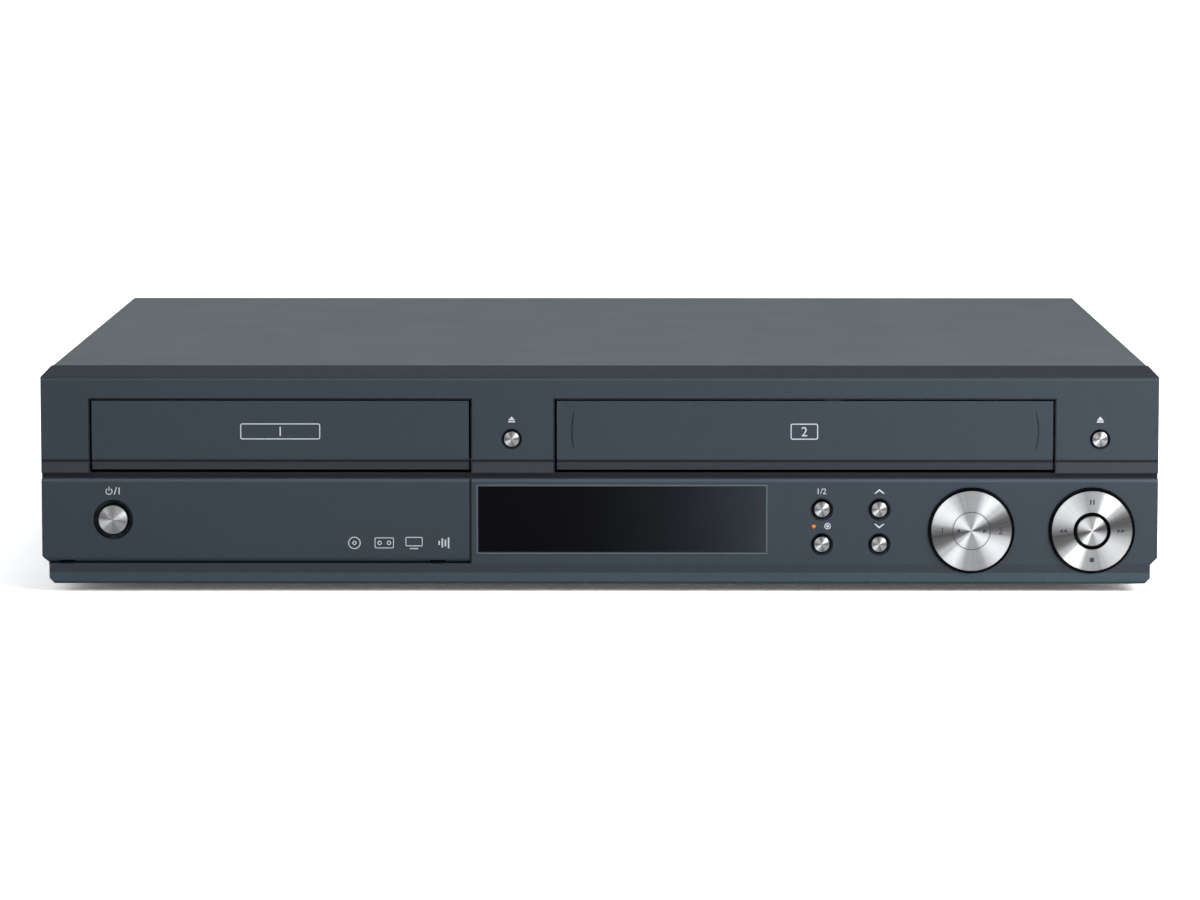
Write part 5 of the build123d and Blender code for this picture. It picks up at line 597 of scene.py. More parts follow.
@dataclass(frozen=True)
class CircuitBoard(Finish):
    """Green circuit board whose tall parts show as black and silver components.

    Attributes:
        axis: Normal of the board.
        faces: Low and high limit of each bare board along that axis, in metres.
        slack: How far past those limits still counts as bare, in metres.
        tracks: Settings of the brick pattern that draws the tracks.
    """

    axis: Axis
    faces: tuple[tuple[float, float], ...]
    slack: float = 0.0002
    tracks: tuple[tuple[str, float], ...] = (
        ("Scale", 140.0),
        ("Mortar Size", 0.06),
        ("Brick Width", 0.7),
        ("Row Height", 0.2),
    )

    def fill(self, graph: Graph) -> None:
        """Adds the finish's nodes."""
        across = graph.split(graph.place)
        height = across[self.axis.value]
        tracks = graph.nodes.new("ShaderNodeTexBrick")
        flat = [part for index, part in enumerate(across) if index != self.axis.value]
        graph.feed(tracks.inputs["Vector"], graph.joined(flat[0], flat[1], 0.0))
        for name, value in self.tracks:
            tracks.inputs[name].default_value = value
        green = graph.mix(graph.noise(0.02, 3.0), srgb(18, 84, 48), srgb(26, 100, 58))
        mask = graph.mix(tracks.outputs["Fac"], green, srgb(44, 128, 78))
        pads = graph.calc("LESS_THAN", graph.cells(0.0042, "SMOOTH_F1"), 0.16)
        mask = graph.mix(pads, mask, srgb(196, 190, 170))
        bare: Any = 0.0
        for low, high in self.faces:
            level = graph.between(height, low - self.slack, high + self.slack)
            bare = graph.calc("ADD", bare, level, True)
        part = graph.split(graph.cells(0.021))[0]
        metal = graph.calc("GREATER_THAN", part, 0.62)
        parts = graph.mix(metal, srgb(28, 28, 30), srgb(150, 152, 154))
        graph.surface(graph.mix(bare, parts, mask), graph.vary(graph.noise(0.003), 0.3, 0.5))
        graph.bump(tracks.outputs["Fac"], 0.00003)


@dataclass(frozen=True)
class Collared(Finish):
    """Connector plastic and metal: colours by place, such as the coloured collars of sockets.

    Attributes:
        base: Colour of the housing.
        bands: Low corner, high corner and colour of each coloured box, in metres.
    """

    base: Colour
    bands: tuple[tuple[Vector, Vector, Colour], ...]

    def fill(self, graph: Graph) -> None:
        """Adds the finish's nodes."""
        parts = graph.split(graph.place)
        grain = graph.noise(0.0006, 3.0)
        colour = graph.mix(grain, scaled(self.base, 0.85), scaled(self.base, 1.15))
        for low, high, paint in self.bands:
            inside: Any = 1.0
            for index, part in enumerate(parts):
                within = graph.between(part, low[index], high[index])
                inside = graph.calc("MULTIPLY", inside, within)
            colour = graph.mix(inside, colour, paint)
        graph.surface(colour, graph.vary(grain, 0.32, 0.48))
        graph.bump(grain, 0.000006)


# ---- Meshes --------------------------------------------------------------------------------
def at(x: float, y: float, z: float) -> Vector:
    """A place in the frame from millimetres right, behind the front face and above the floor."""
    return Vector((x * MM, FACE_Y + y * MM, z * MM))


def circle(radius: float, count: int = 40, x: float = 0.0, z: float = 0.0) -> Outline:
    """Points round a circle about a point."""
    turns = [math.tau * index / count for index in range(count)]
    return [(x + radius * math.cos(turn), z + radius * math.sin(turn)) for turn in turns]


def box_outline(
    width: float, height: float, round_by: float = 0.0, x: float = 0.0, z: float = 0.0
) -> Outline:
    """Outline of a rectangle about a point, with rounded corners."""
    if not round_by:
        corners = ((-0.5, -0.5), (0.5, -0.5), (0.5, 0.5), (-0.5, 0.5))
        return [(x + side_x * width, z + side_z * height) for side_x, side_z in corners]
    points = []
    for side_x, side_z, start in ((1, 1, 0), (-1, 1, 90), (-1, -1, 180), (1, -1, 270)):
        corner_x = x + side_x * (width / 2 - round_by)
        corner_z = z + side_z * (height / 2 - round_by)
        for step in range(CORNER_STEPS + 1):
            turn = math.radians(start + step * 90 / CORNER_STEPS)
            along, up = round_by * math.cos(turn), round_by * math.sin(turn)
            points.append((corner_x + along, corner_z + up))
    return points


@dataclass
class Sign:
    """A flat printed sign: filled outlines and outlines with a hole, in millimetres.

    Attributes:
        filled: Outlines that are filled.
        hollow: Pairs of outer and inner outline with as many points each.
    """

    filled: list[Outline] = field(default_factory=list)
    hollow: list[tuple[Outline, Outline]] = field(default_factory=list)

    def mesh(self, x: float, z: float, y: float, thickness: float) -> Mesh:
        """Builds the sign as thin plates that face the front.

        Args:
            x: Middle of the sign, millimetres to the right.
            z: Middle of the sign, millimetres above the floor.
            y: Its outer face, millimetres behind the front face.
            thickness: Thickness of the ink in millimetres.

        Returns:
            The mesh.
        """
        mesh = bmesh.new()

        def ring(points: Outline) -> list[bmesh.types.BMVert]:
            """Vertices of one outline."""
            return [mesh.verts.new(at(x + along, y, z + up)) for along, up in points]

        for outline in self.filled:
            mesh.faces.new(ring(outline))
        for outer, inner in self.hollow:
            edges = []
            for points in (outer, inner):
                corners = ring(points)
                edges += [mesh.edges.new(pair) for pair in zip(corners, corners[1:] + corners[:1])]
            bmesh.ops.bridge_loops(mesh, edges=edges)
        raised = bmesh.ops.extrude_face_region(mesh, geom=mesh.faces[:])["geom"]
        moved = [item for item in raised if isinstance(item, bmesh.types.BMVert)]
        bmesh.ops.translate(mesh, verts=moved, vec=(0, thickness * MM, 0))
        bmesh.ops.recalc_face_normals(mesh, faces=mesh.faces[:])
        return mesh


def place_piece(name: str, mesh: Mesh, finish: Material, body: str) -> None:
    """Turns a mesh into a piece that rides on a body.

    Args:
        name: The piece's name.
        mesh: Its mesh in the frame's place; it is freed.
        finish: Its material.
        body: The body that it rides on.
    """
    data = bpy.data.meshes.new(name)
    mesh.to_mesh(data)
    mesh.free()
    piece = bpy.data.objects.new(name, data)
    bpy.context.scene.collection.objects.link(piece)
    data.materials.append(finish)
    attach(piece, body)
    log.info("piece %s on %s, %d faces", name, body, len(data.polygons))


def numeral_mesh(
    text: str, height: float, x: float, z: float, y: float, thickness: float
) -> Mesh:
    """A plain numeral as a thin plate that faces the front.

    Args:
        text: The digits.
        height: Height of the digits in millimetres.
        x: Middle, millimetres to the right.
        z: Middle, millimetres above the floor.
        y: Outer face, millimetres behind the front face.
        thickness: Thickness of the ink in millimetres.

    Returns:
        The mesh.
    """
    curve = bpy.data.curves.new("numeral", "FONT")
    curve.body = text
    curve.size = 1.0
    curve.extrude = 0.5
    holder = bpy.data.objects.new("numeral", curve)
    bpy.context.scene.collection.objects.link(holder)
    bpy.context.view_layer.update()
    graph = bpy.context.evaluated_depsgraph_get()
    data = bpy.data.meshes.new_from_object(holder.evaluated_get(graph))
    bpy.data.objects.remove(holder)
    bpy.data.curves.remove(curve)
    mesh = bmesh.new()
    mesh.from_mesh(data)
    bpy.data.meshes.remove(data)
    bmesh.ops.remove_doubles(mesh, verts=mesh.verts[:], dist=1e-5)
    xs = [vertex.co.x for vertex in mesh.verts]
    ys = [vertex.co.y for vertex in mesh.verts]
    middle = Vector(((min(xs) + max(xs)) / 2, (min(ys) + max(ys)) / 2, 0))
    size = height * MM / (max(ys) - min(ys))
    upright = Matrix.Rotation(math.radians(90), 3, "X")
    bmesh.ops.translate(mesh, verts=mesh.verts[:], vec=-middle)
    bmesh.ops.scale(mesh, verts=mesh.verts[:], vec=(size, size, thickness * MM))
    bmesh.ops.rotate(mesh, verts=mesh.verts[:], cent=(0, 0, 0), matrix=upright)
    bmesh.ops.translate(mesh, verts=mesh.verts[:], vec=at(x, y + thickness / 2, z))
    bmesh.ops.recalc_face_normals(mesh, faces=mesh.faces[:])
    return mesh


def triangle(width: float, height: float, turn: float, x: float = 0.0, z: float = 0.0) -> Outline:
    """A triangle about a point that points up at turn 0 and to the left at turn 90."""
    corners = ((-width / 2, -height / 2), (width / 2, -height / 2), (0.0, height / 2))
    cosine, sine = math.cos(math.radians(turn)), math.sin(math.radians(turn))
    return [(x + a * cosine - b * sine, z + a * sine + b * cosine) for a, b in corners]


def arc_band(radius: float, width: float, start: float, stop: float, count: int = 24) -> Outline:
    """A band along an arc between two angles in degrees."""
    turns = [math.radians(start + (stop - start) * step / count) for step in range(count + 1)]
    outer = [(radius * math.cos(turn), radius * math.sin(turn)) for turn in turns]
    narrow = radius - width
    return outer + [(narrow * math.cos(turn), narrow * math.sin(turn)) for turn in reversed(turns)]


def chevron(width: float, height: float, thick: float, down: bool = False) -> Outline:
    """A chevron that points up, or down."""
    side = -1 if down else 1
    half, tip, foot = width / 2, side * height / 2, -side * height / 2
    outer = [(-half, foot), (0.0, tip), (half, foot)]
    return outer + [(half - thick, foot), (0.0, tip - side * thick), (-half + thick, foot)]


def dress(finish: Material, *nodes: str) -> None:
    """Gives a finish to CAD nodes.

    Args:
        finish: The material.
        *nodes: Names of the nodes.
    """
    for node in nodes:
        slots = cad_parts[node].data.materials
        slots.clear()
        slots.append(finish)
        log.info("finish %s on %s", finish.name, node)


# ---- Sub-assemblies ------------------------------------------------------------------------
INK = Ink("pale_ink", srgb(196, 202, 206))
LAMP = Ink("lamp_orange", srgb(226, 120, 44), roughness=0.25)
DARK_INK = Ink("dark_ink", srgb(52, 54, 58), thin=1.2)
# Painted light across the front, from the floor up: shade at the bottom, a painted reflection of
# the floor on the chin, shade in the cove, a highlight along the rounded top of the lower face,
# shade in the channel under the doors, a painted reflection on the lip, shade in the groove above
# it, a highlight under the bevel and shade on the bevel.
FRONT_PAINTED_LIGHT_BANDS = (
    PaintedLightBand(2.0, 4.2, (0.5, 0.5, 0.5)),
    PaintedLightBand(4.2, 7.7, (1.3, 1.5, 1.42)),
    PaintedLightBand(7.7, 11.2, (0.86, 0.8, 0.8)),
    PaintedLightBand(42.9, 44.2, (1.9, 1.85, 1.8)),
    PaintedLightBand(44.2, 46.4, (0.05, 0.06, 0.1)),
    PaintedLightBand(46.4, 50.6, (1.05, 0.86, 0.8)),
    PaintedLightBand(50.6, 51.6, (0.06, 0.07, 0.1)),
    PaintedLightBand(82.0, 82.9, (1.35, 1.35, 1.35)),
    PaintedLightBand(83.2, 87.2, (0.25, 0.3, 0.38)),
)
FRONT_PAINT = FrontPaint("front_paint_and_painted_light", srgb(46, 56, 65), FRONT_PAINTED_LIGHT_BANDS)
COVER_PAINT = PaintedSheet("cover_paint", srgb(46, 65, 72), roughness=0.5, specular=0.2)
REAR_PAINT = PaintedSheet("rear_paint", srgb(44, 46, 49), roughness=0.5)
SHADE = Ink("shade_black", srgb(8, 11, 18), roughness=0.7, thin=0.8)
# Painted highlight: a light colour for the window's rim, standing in for light caught by its
# bevel.
HIGHLIGHT_EDGE = Moulded("painted_highlight_edge", srgb(92, 104, 112), roughness=0.35)
BLACK = Moulded("black_plastic", srgb(26, 27, 29), roughness=0.45, specular=0.35)
DARK_GREY = Moulded("dark_grey_plastic", srgb(48, 50, 53), roughness=0.5)
IVORY = Moulded("ivory_plastic", srgb(196, 194, 184), roughness=0.45)
ZINC = PlatedSheet("zinc_plate", srgb(178, 180, 180))
TIN = PlatedSheet("tinned_plate", srgb(190, 190, 186), roughness=0.3, spangle=0.012)
BRIGHT = PlatedSheet("bright_steel", srgb(200, 200, 200), roughness=0.22, contrast=0.06)
CARD_BLACK = Moulded("black_card", (0.01, 0.01, 0.01), roughness=0.9, specular=0.1)
CAST = PlatedSheet("die_cast", srgb(150, 152, 154), roughness=0.5, spangle=0.0015)
RUBBER = Rubber("black_rubber", srgb(22, 22, 23))


@dataclass
class Studio:
    """Pale floor, soft lamps and the camera at the photograph's place.

    Attributes:
        eye: Camera place: millimetres right, behind the front face and above the floor.
        pitch: Degrees that the camera looks down.
        yaw: Degrees that it looks to the left.
        focal: Focal length in image widths.
        floor_size: Side of the floor in metres.
        fill: Strength of the surroundings' light from the horizon.
        fill_above: The same from overhead.
        shine_above: Strength of the surroundings overhead where metal and glass mirror them.
        lift: Light of its own with which the camera sees the floor near the object.
        floor_gain: How much lighter than real the camera sees the floor, so that it is white.
        level_up: Upward part of a direction below which it counts as the horizon.
        steep_up: The same above which it counts as overhead.
        aim: Where lamps and cards look, in metres.
        backdrop_span: Distances over which the floor turns into a plain white backdrop.
    """

    eye: Place = (9.17, -1978.0, 268.4)
    pitch: float = 6.15
    yaw: float = 0.26
    focal: float = 5170 / 1200
    floor_size: float = 120.0
    fill: float = 0.5
    fill_above: float = 0.15
    shine_above: float = 0.2
    lift: float = 0.06
    floor_gain: float = 2.7
    level_up: float = 0.25
    steep_up: float = 0.8
    aim: Place = (0.0, 0.0, 0.04)
    backdrop_span: tuple[float, float] = (0.7, 2.5)

    def camera(self) -> None:
        """Sets up the camera."""
        data = bpy.data.cameras.new("camera")
        data.sensor_width = 36.0
        data.lens = self.focal * data.sensor_width
        data.clip_end = 200.0
        eye = bpy.data.objects.new("camera", data)
        eye.location = at(*self.eye)
        eye.rotation_euler = (math.radians(90 - self.pitch), 0.0, math.radians(self.yaw))
        bpy.context.scene.collection.objects.link(eye)
        bpy.context.scene.camera = eye

    def floor(self) -> None:
        """Lays the floor, which stays white round the object and keeps its shadow."""
        mesh = bmesh.new()
        bmesh.ops.create_grid(mesh, x_segments=1, y_segments=1, size=self.floor_size / 2)
        data = bpy.data.meshes.new("floor")
        mesh.to_mesh(data)
        mesh.free()
        floor = bpy.data.objects.new("floor", data)
        bpy.context.scene.collection.objects.link(floor)
        graph = Graph("floor_white")
        seen = graph.nodes.new("ShaderNodeLightPath").outputs["Is Camera Ray"]
        tone = graph.mix(graph.noise(0.4, 2.0), (0.86, 0.86, 0.87), (0.88, 0.88, 0.89))
        lit = tuple(self.floor_gain * value for value in (0.87, 0.87, 0.88))
        shown = graph.mix(seen, tone, lit)
        graph.feed(graph.shader.inputs["Base Color"], shown)
        graph.fix(Roughness=0.9, Specular_IOR_Level=0.1, Emission_Color=(1.0, 1.0, 1.0))
        distance = graph.vector("LENGTH", graph.place)
        away = graph.spread(distance, *self.backdrop_span, self.lift, 1.0)
        graph.feed(graph.shader.inputs["Emission Strength"], graph.calc("MULTIPLY", seen, away))
        data.materials.append(graph.material)

    def world(self) -> None:
        """Surroundings: white where they are seen or mirrored, an even fill elsewhere."""
        world = bpy.data.worlds.new("studio")
        world.use_nodes = True
        bpy.context.scene.world = world
        nodes, links = world.node_tree.nodes, world.node_tree.links
        path = nodes.new("ShaderNodeLightPath").outputs
        seen = path["Is Camera Ray"]
        for ray in ("Is Glossy Ray", "Is Transmission Ray"):
            either = nodes.new("ShaderNodeMath")
            either.operation = "MAXIMUM"
            links.new(seen, either.inputs[0])
            links.new(path[ray], either.inputs[1])
            seen = either.outputs[0]
        strength = nodes.new("ShaderNodeMapRange")
        upward = nodes.new("ShaderNodeSeparateXYZ")
        links.new(nodes.new("ShaderNodeTexCoord").outputs["Generated"], upward.inputs[0])
        for end, horizon, above in (
            ("To Min", self.fill, self.fill_above),
            ("To Max", 1.0, self.shine_above),
        ):
            level = nodes.new("ShaderNodeMapRange")
            for name, value in (
                ("From Min", self.level_up),
                ("From Max", self.steep_up),
                ("To Min", horizon),
                ("To Max", above),
            ):
                level.inputs[name].default_value = value
            links.new(upward.outputs[2], level.inputs["Value"])
            links.new(level.outputs["Result"], strength.inputs[end])
        links.new(seen, strength.inputs["Value"])
        background = nodes["Background"]
        background.inputs["Color"].default_value = (1.0, 1.0, 1.0, 1.0)
        links.new(strength.outputs["Result"], background.inputs["Strength"])

    def facing(self, place: Place) -> Quaternion:
        """The turn that points a lamp or a card at the object's middle."""
        return (Vector(self.aim) - Vector(place)).to_track_quat("-Z", "Y")

    def lamp(self, name: str, place: Place, size: tuple[float, float], power: float) -> None:
        """Adds a soft lamp that looks at the object's middle.

        Args:
            name: The lamp's name.
            place: Its place in metres from the object's middle.
            size: Width and height of its face in metres.
            power: Its power in watts.
        """
        data = bpy.data.lights.new(name, "AREA")
        data.shape = "RECTANGLE"
        data.size, data.size_y = size
        data.energy = power
        lamp = bpy.data.objects.new(name, data)
        lamp.location = place
        lamp.rotation_euler = self.facing(place).to_euler()
        bpy.context.scene.collection.objects.link(lamp)

    def card(self, name: str, place: Place, size: tuple[float, float]) -> None:
        """Adds a black card that metal mirrors as its dark wedges; the camera doesn't see it.

        Args:
            name: The card's name.
            place: Its middle in metres from the object's middle.
            size: Width and height in metres.
        """
        mesh = bmesh.new()
        bmesh.ops.create_grid(mesh, x_segments=1, y_segments=1, size=0.5)
        bmesh.ops.scale(mesh, verts=mesh.verts[:], vec=(size[0], size[1], 1.0))
        turn = self.facing(place).to_matrix()
        bmesh.ops.rotate(mesh, verts=mesh.verts[:], cent=(0, 0, 0), matrix=turn)
        bmesh.ops.translate(mesh, verts=mesh.verts[:], vec=place)
        data = bpy.data.meshes.new(name)
        mesh.to_mesh(data)
        mesh.free()
        card = bpy.data.objects.new(name, data)
        bpy.context.scene.collection.objects.link(card)
        data.materials.append(CARD_BLACK.material())
        card.visible_camera = False
        card.visible_shadow = False
        card.visible_diffuse = False

    def build(self) -> None:
        """Builds the whole studio."""
        self.camera()
        self.floor()
        self.world()
        self.lamp("key_lamp", (0.58, -0.75, 0.4), (0.35, 0.4), 6.6)
        self.lamp("left_lamp", (-1.4, -1.7, 0.8), (1.0, 1.2), 10.5)
        self.lamp("top_lamp", (0.2, 0.4, 2.0), (1.6, 1.0), 8.0)
        self.lamp("left_rear_lamp", (-2.2, 0.9, 0.8), (1.0, 0.8), 7.0)
        self.lamp("right_rear_lamp", (2.2, 0.9, 0.8), (1.0, 0.8), 7.0)
        self.card("left_card", (-1.1, -1.1, 0.1), (1.3, 0.7))
        self.card("right_card", (1.3, -1.1, 0.3), (1.3, 0.6))


class Enclosure:
    """Wrap cover, pan, rear panel, feet and screws."""

    def build(self) -> None:
        """Dresses the enclosure."""
        dress(COVER_PAINT.material(), "top_cover")
        dress(ZINC.material(), "chassis_pan")
        dress(REAR_PAINT.material(), "rear_panel")
        dress(BRIGHT.material(), "case_screws")
        dress(RUBBER.material(), "feet", "drive_belt", "pinch_roller")


@dataclass
class Printer:
    """Prints thin signs and numerals on the front of one body.

    Attributes:
        body: The body.
        finish: Its ink.
        proud: How far its face stands in front of the panel, in millimetres.
    """

    body: str
    finish: Material
    proud: float = 0.0

    def sign(self, name: str, sign: Sign, x: float = 0.0, z: float = 0.0) -> None:
        """Prints a sign about a point."""
        mesh = sign.mesh(x, z, -self.proud - INK_PROUD, INK_THICK)
        place_piece(name, mesh, self.finish, self.body)

    def number(self, name: str, text: str, height: float, x: float, z: float) -> None:
        """Prints a numeral about a point."""
        mesh = numeral_mesh(text, height, x, z, -self.proud - INK_PROUD, INK_THICK)
        place_piece(name, mesh, self.finish, self.body)


def middle(node: str) -> tuple[float, float]:
    """Middle of a node as the front shows it, in millimetres right and above the floor."""
    low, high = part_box(node)
    return (low.x + high.x) / 2 / MM, (low.z + high.z) / 2 / MM


@dataclass
class FrontFace:
    """Moulded front, doors, flap, window and their printed signs; sizes in millimetres.

    Attributes:
        disc_x: Middle of the disc door.
        tape_x: Middle of the cassette flap.
        badge_z: Height of the badges on both doors above the floor.
        badge_height: How tall a badge is.
        badge_number: How tall its numeral is.
        button_sign_z: Height of the signs over the door buttons.
        open_x: The disc open button.
        eject_x: The cassette eject button.
        power_x: The power button.
        key_left_x: Left column of keys.
        key_right_x: Right column of keys.
        high_sign_z: Height of the signs over the upper keys and the power button.
        low_sign_z: Height of the signs over the lower keys.
        pictogram_x: First small pictogram on the lower flap.
        pictogram_z: Height of the pictograms.
        pictogram_pitch: Distance between them.
        door_gap: Gap round the doors.
        door_top: Top of the door openings.
        lip_foot: Foot of the lips below the doors.
        cove_top: Top of the hollow below the lower flap.
        shade_width: Width of the painted shadow line round the doors.
        joint_shadow_width: Width of the painted shadow line right of the lower flap.
        joint_gap: Distance of its middle from the flap.
        sill_width: Width of the painted sill under the flap.
        sill_depth: How far behind the face the sill starts, and its thickness.
        sill_spans: Ends of the parts of the sill between the hinge slits.
        highlight_rim_gaps: How much larger than the window its rim of painted highlight is,
            outside and inside.
        well_radii: Outer and inner radius of the black ring in the power button's well.
        well_depth: How far behind the face the ring lies, and its thickness.
    """

    disc_x: float = -122.85
    tape_x: float = 78.8
    badge_z: float = 62.4
    badge_height: float = 6.2
    badge_number: float = 3.6
    button_sign_z: float = 67.0
    open_x: float = -33.8
    eject_x: float = 192.5
    power_x: float = -187.5
    key_left_x: float = 85.7
    key_right_x: float = 107.8
    high_sign_z: float = 39.3
    low_sign_z: float = 25.8
    pictogram_x: float = -94.5
    pictogram_z: float = 19.2
    pictogram_pitch: float = 11.5
    door_gap: float = 0.8
    door_top: float = 75.0
    lip_foot: float = 46.5
    cove_top: float = 11.2
    shade_width: float = 0.5
    joint_shadow_width: float = 0.6
    joint_gap: float = 0.55
    sill_width: float = 0.2
    sill_depth: tuple[float, float] = (0.05, 0.5)
    sill_spans: Outline = ((-212.4, -208.5), (-202.3, -64.5), (-60.3, -50.2))
    highlight_rim_gaps: tuple[float, float] = (1.3, 0.7)
    well_radii: tuple[float, float] = (7.6, 6.25)
    well_depth: tuple[float, float] = (3.0, 0.1)

    def gaps(self, paint: Material) -> None:
        """Painted shadow lines round the openings, the flap's sill and the window's rim of painted
        highlight.

        Args:
            paint: The front's own paint, for the sill.
        """
        shade = SHADE.material()
        casing = Printer("casing", shade)
        width, tall = self.shade_width, self.door_top - self.lip_foot
        height = (self.door_top + self.lip_foot) / 2
        # Painted shadow: black lines beside and above each door stand in for the shadow in the gap
        # round it.
        for node, door in (("tray_fascia", "disc"), ("cassette_flap", "tape")):
            low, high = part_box(node)
            left, right = low.x / MM - self.door_gap, high.x / MM + self.door_gap
            lintel = (left + right) / 2
            edges = [
                box_outline(width, tall, x=left - width / 2, z=height),
                box_outline(width, tall, x=right + width / 2, z=height),
                box_outline(right - left + 2 * width, width, x=lintel, z=self.door_top),
            ]
            casing.sign(f"{door}_door_shadow_line", Sign(edges))
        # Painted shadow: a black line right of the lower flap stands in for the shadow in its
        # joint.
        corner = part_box("input_flap")[1]
        foot, top = self.cove_top, corner.z / MM
        x = corner.x / MM + self.joint_gap
        joint = box_outline(self.joint_shadow_width, top - foot, x=x, z=(top + foot) / 2)
        casing.sign("flap_joint_shadow_line", Sign([joint]))
        sill = Sign([
            box_outline(stop - start, self.sill_width, x=(start + stop) / 2, z=self.cove_top)
            for start, stop in self.sill_spans
        ])
        place_piece("flap_sill", sill.mesh(0.0, 0.0, *self.sill_depth), paint, "casing")
        # Painted highlight: a light frame round the window stands in for light on the bevel of its
        # recess.
        low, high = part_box("display_window")
        wide, tall = (high.x - low.x) / MM, (high.z - low.z) / MM
        outer, inner = (box_outline(wide + gap, tall + gap) for gap in self.highlight_rim_gaps)
        rim = Sign(hollow=[(outer, inner)])
        Printer("casing", HIGHLIGHT_EDGE.material()).sign("window_rim_highlight", rim, *middle("display_window"))
        outer, inner = (circle(radius) for radius in self.well_radii)
        ring = Sign(hollow=[(outer, inner)]).mesh(*middle("power_button"), *self.well_depth)
        place_piece("power_well_ring", ring, shade, "casing")

    def badge(self, width: float) -> Sign:
        """A plain outlined badge."""
        outer = box_outline(width, self.badge_height, 0.8)
        return Sign(hollow=[(outer, box_outline(width - 0.8, self.badge_height - 0.8, 0.45))])

    def windows(self) -> None:
        """Dresses the smoked window, the tube behind it and the record lamp."""
        # The second colour is each window's right end, lightened as a painted reflection.
        for name, node, colour, thin in (
            ("smoked_window", "display_window", srgb(4, 4, 9), srgb(47, 53, 58)),
            ("display_glass", "display_tube", srgb(20, 30, 32), srgb(28, 40, 42)),
        ):
            low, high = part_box(node)
            dress(Smoked(name, colour, thin, (low.x, high.x)).material(), node)
        dress(LAMP.material(), "record_lamp")

    def build(self) -> None:
        """Dresses the front and prints its signs."""
        paint = FRONT_PAINT.material()
        dress(paint, "front_panel", "input_flap", "cassette_flap", "tray_fascia")
        self.windows()
        self.gaps(paint)
        ink = INK.material()
        casing, flap = Printer("casing", ink), Printer("input_flap", ink)
        for name, body, x, number, width in (
            ("disc_badge", "tray", self.disc_x, "1", 30.8),
            ("tape_badge", "cassette_flap", self.tape_x, "2", 10.6),
        ):
            door = Printer(body, ink)
            door.sign(name, self.badge(width), x, self.badge_z)
            door.number(f"{name}_number", number, self.badge_number, x, self.badge_z)
        eject = Sign([triangle(2.6, 1.5, 0, 0, 0.5), box_outline(2.6, 0.5, z=-0.8)])
        for name, x in (("open_sign", self.open_x), ("eject_sign", self.eject_x)):
            casing.sign(name, eject, x, self.button_sign_z)
        slash = [(0.3, -1.4), (0.7, -1.4), (1.6, 1.5), (1.2, 1.5)]
        bars = [box_outline(0.35, 1.6, x=-1.5, z=0.9), slash, box_outline(0.4, 2.7, x=2.4)]
        flap.sign("power_sign", Sign(bars), self.power_x, self.high_sign_z)
        bow = Sign([arc_band(1.35, 0.35, 125, 415)])
        flap.sign("power_sign_bow", bow, self.power_x - 1.5, self.high_sign_z - 0.15)
        casing.number("select_sign", "1/2", 2.2, self.key_left_x, self.high_sign_z)
        for name, z, down in (
            ("up_sign", self.high_sign_z, False),
            ("down_sign", self.low_sign_z, True),
        ):
            casing.sign(name, Sign([chevron(4.2, 1.8, 0.7, down)]), self.key_right_x, z)
        record = Sign([circle(0.55)], [(circle(1.25), circle(0.9))])
        casing.sign("record_sign", record, self.key_left_x + 2.2, self.low_sign_z)
        for index, sign in enumerate(self.pictograms()):
            x = self.pictogram_x + index * self.pictogram_pitch
            flap.sign(f"pictogram_{index + 1}", sign, x, self.pictogram_z)

    def pictograms(self) -> list[Sign]:
        """Four plain pictograms: a disc, a cassette, a screen and sound bars."""
        disc = Sign(hollow=[(circle(2.4), circle(2.05)), (circle(0.8), circle(0.45))])
        tape = Sign(hollow=[
            (box_outline(7.4, 4.2, 0.5), box_outline(6.8, 3.6, 0.3)),
            (circle(0.85, x=-1.8), circle(0.5, x=-1.8)),
            (circle(0.85, x=1.8), circle(0.5, x=1.8)),
        ])
        glass = (box_outline(6.6, 3.6, 0.5, z=0.5), box_outline(6.0, 3.0, 0.3, z=0.5))
        screen = Sign([box_outline(3.2, 0.4, z=-2.2)], [glass])
        heights = (1.6, 3.6, 2.6, 4.2)
        bars = Sign([box_outline(0.6, tall, x=1.2 * i - 1.8) for i, tall in enumerate(heights)])
        return [disc, tape, screen, bars]


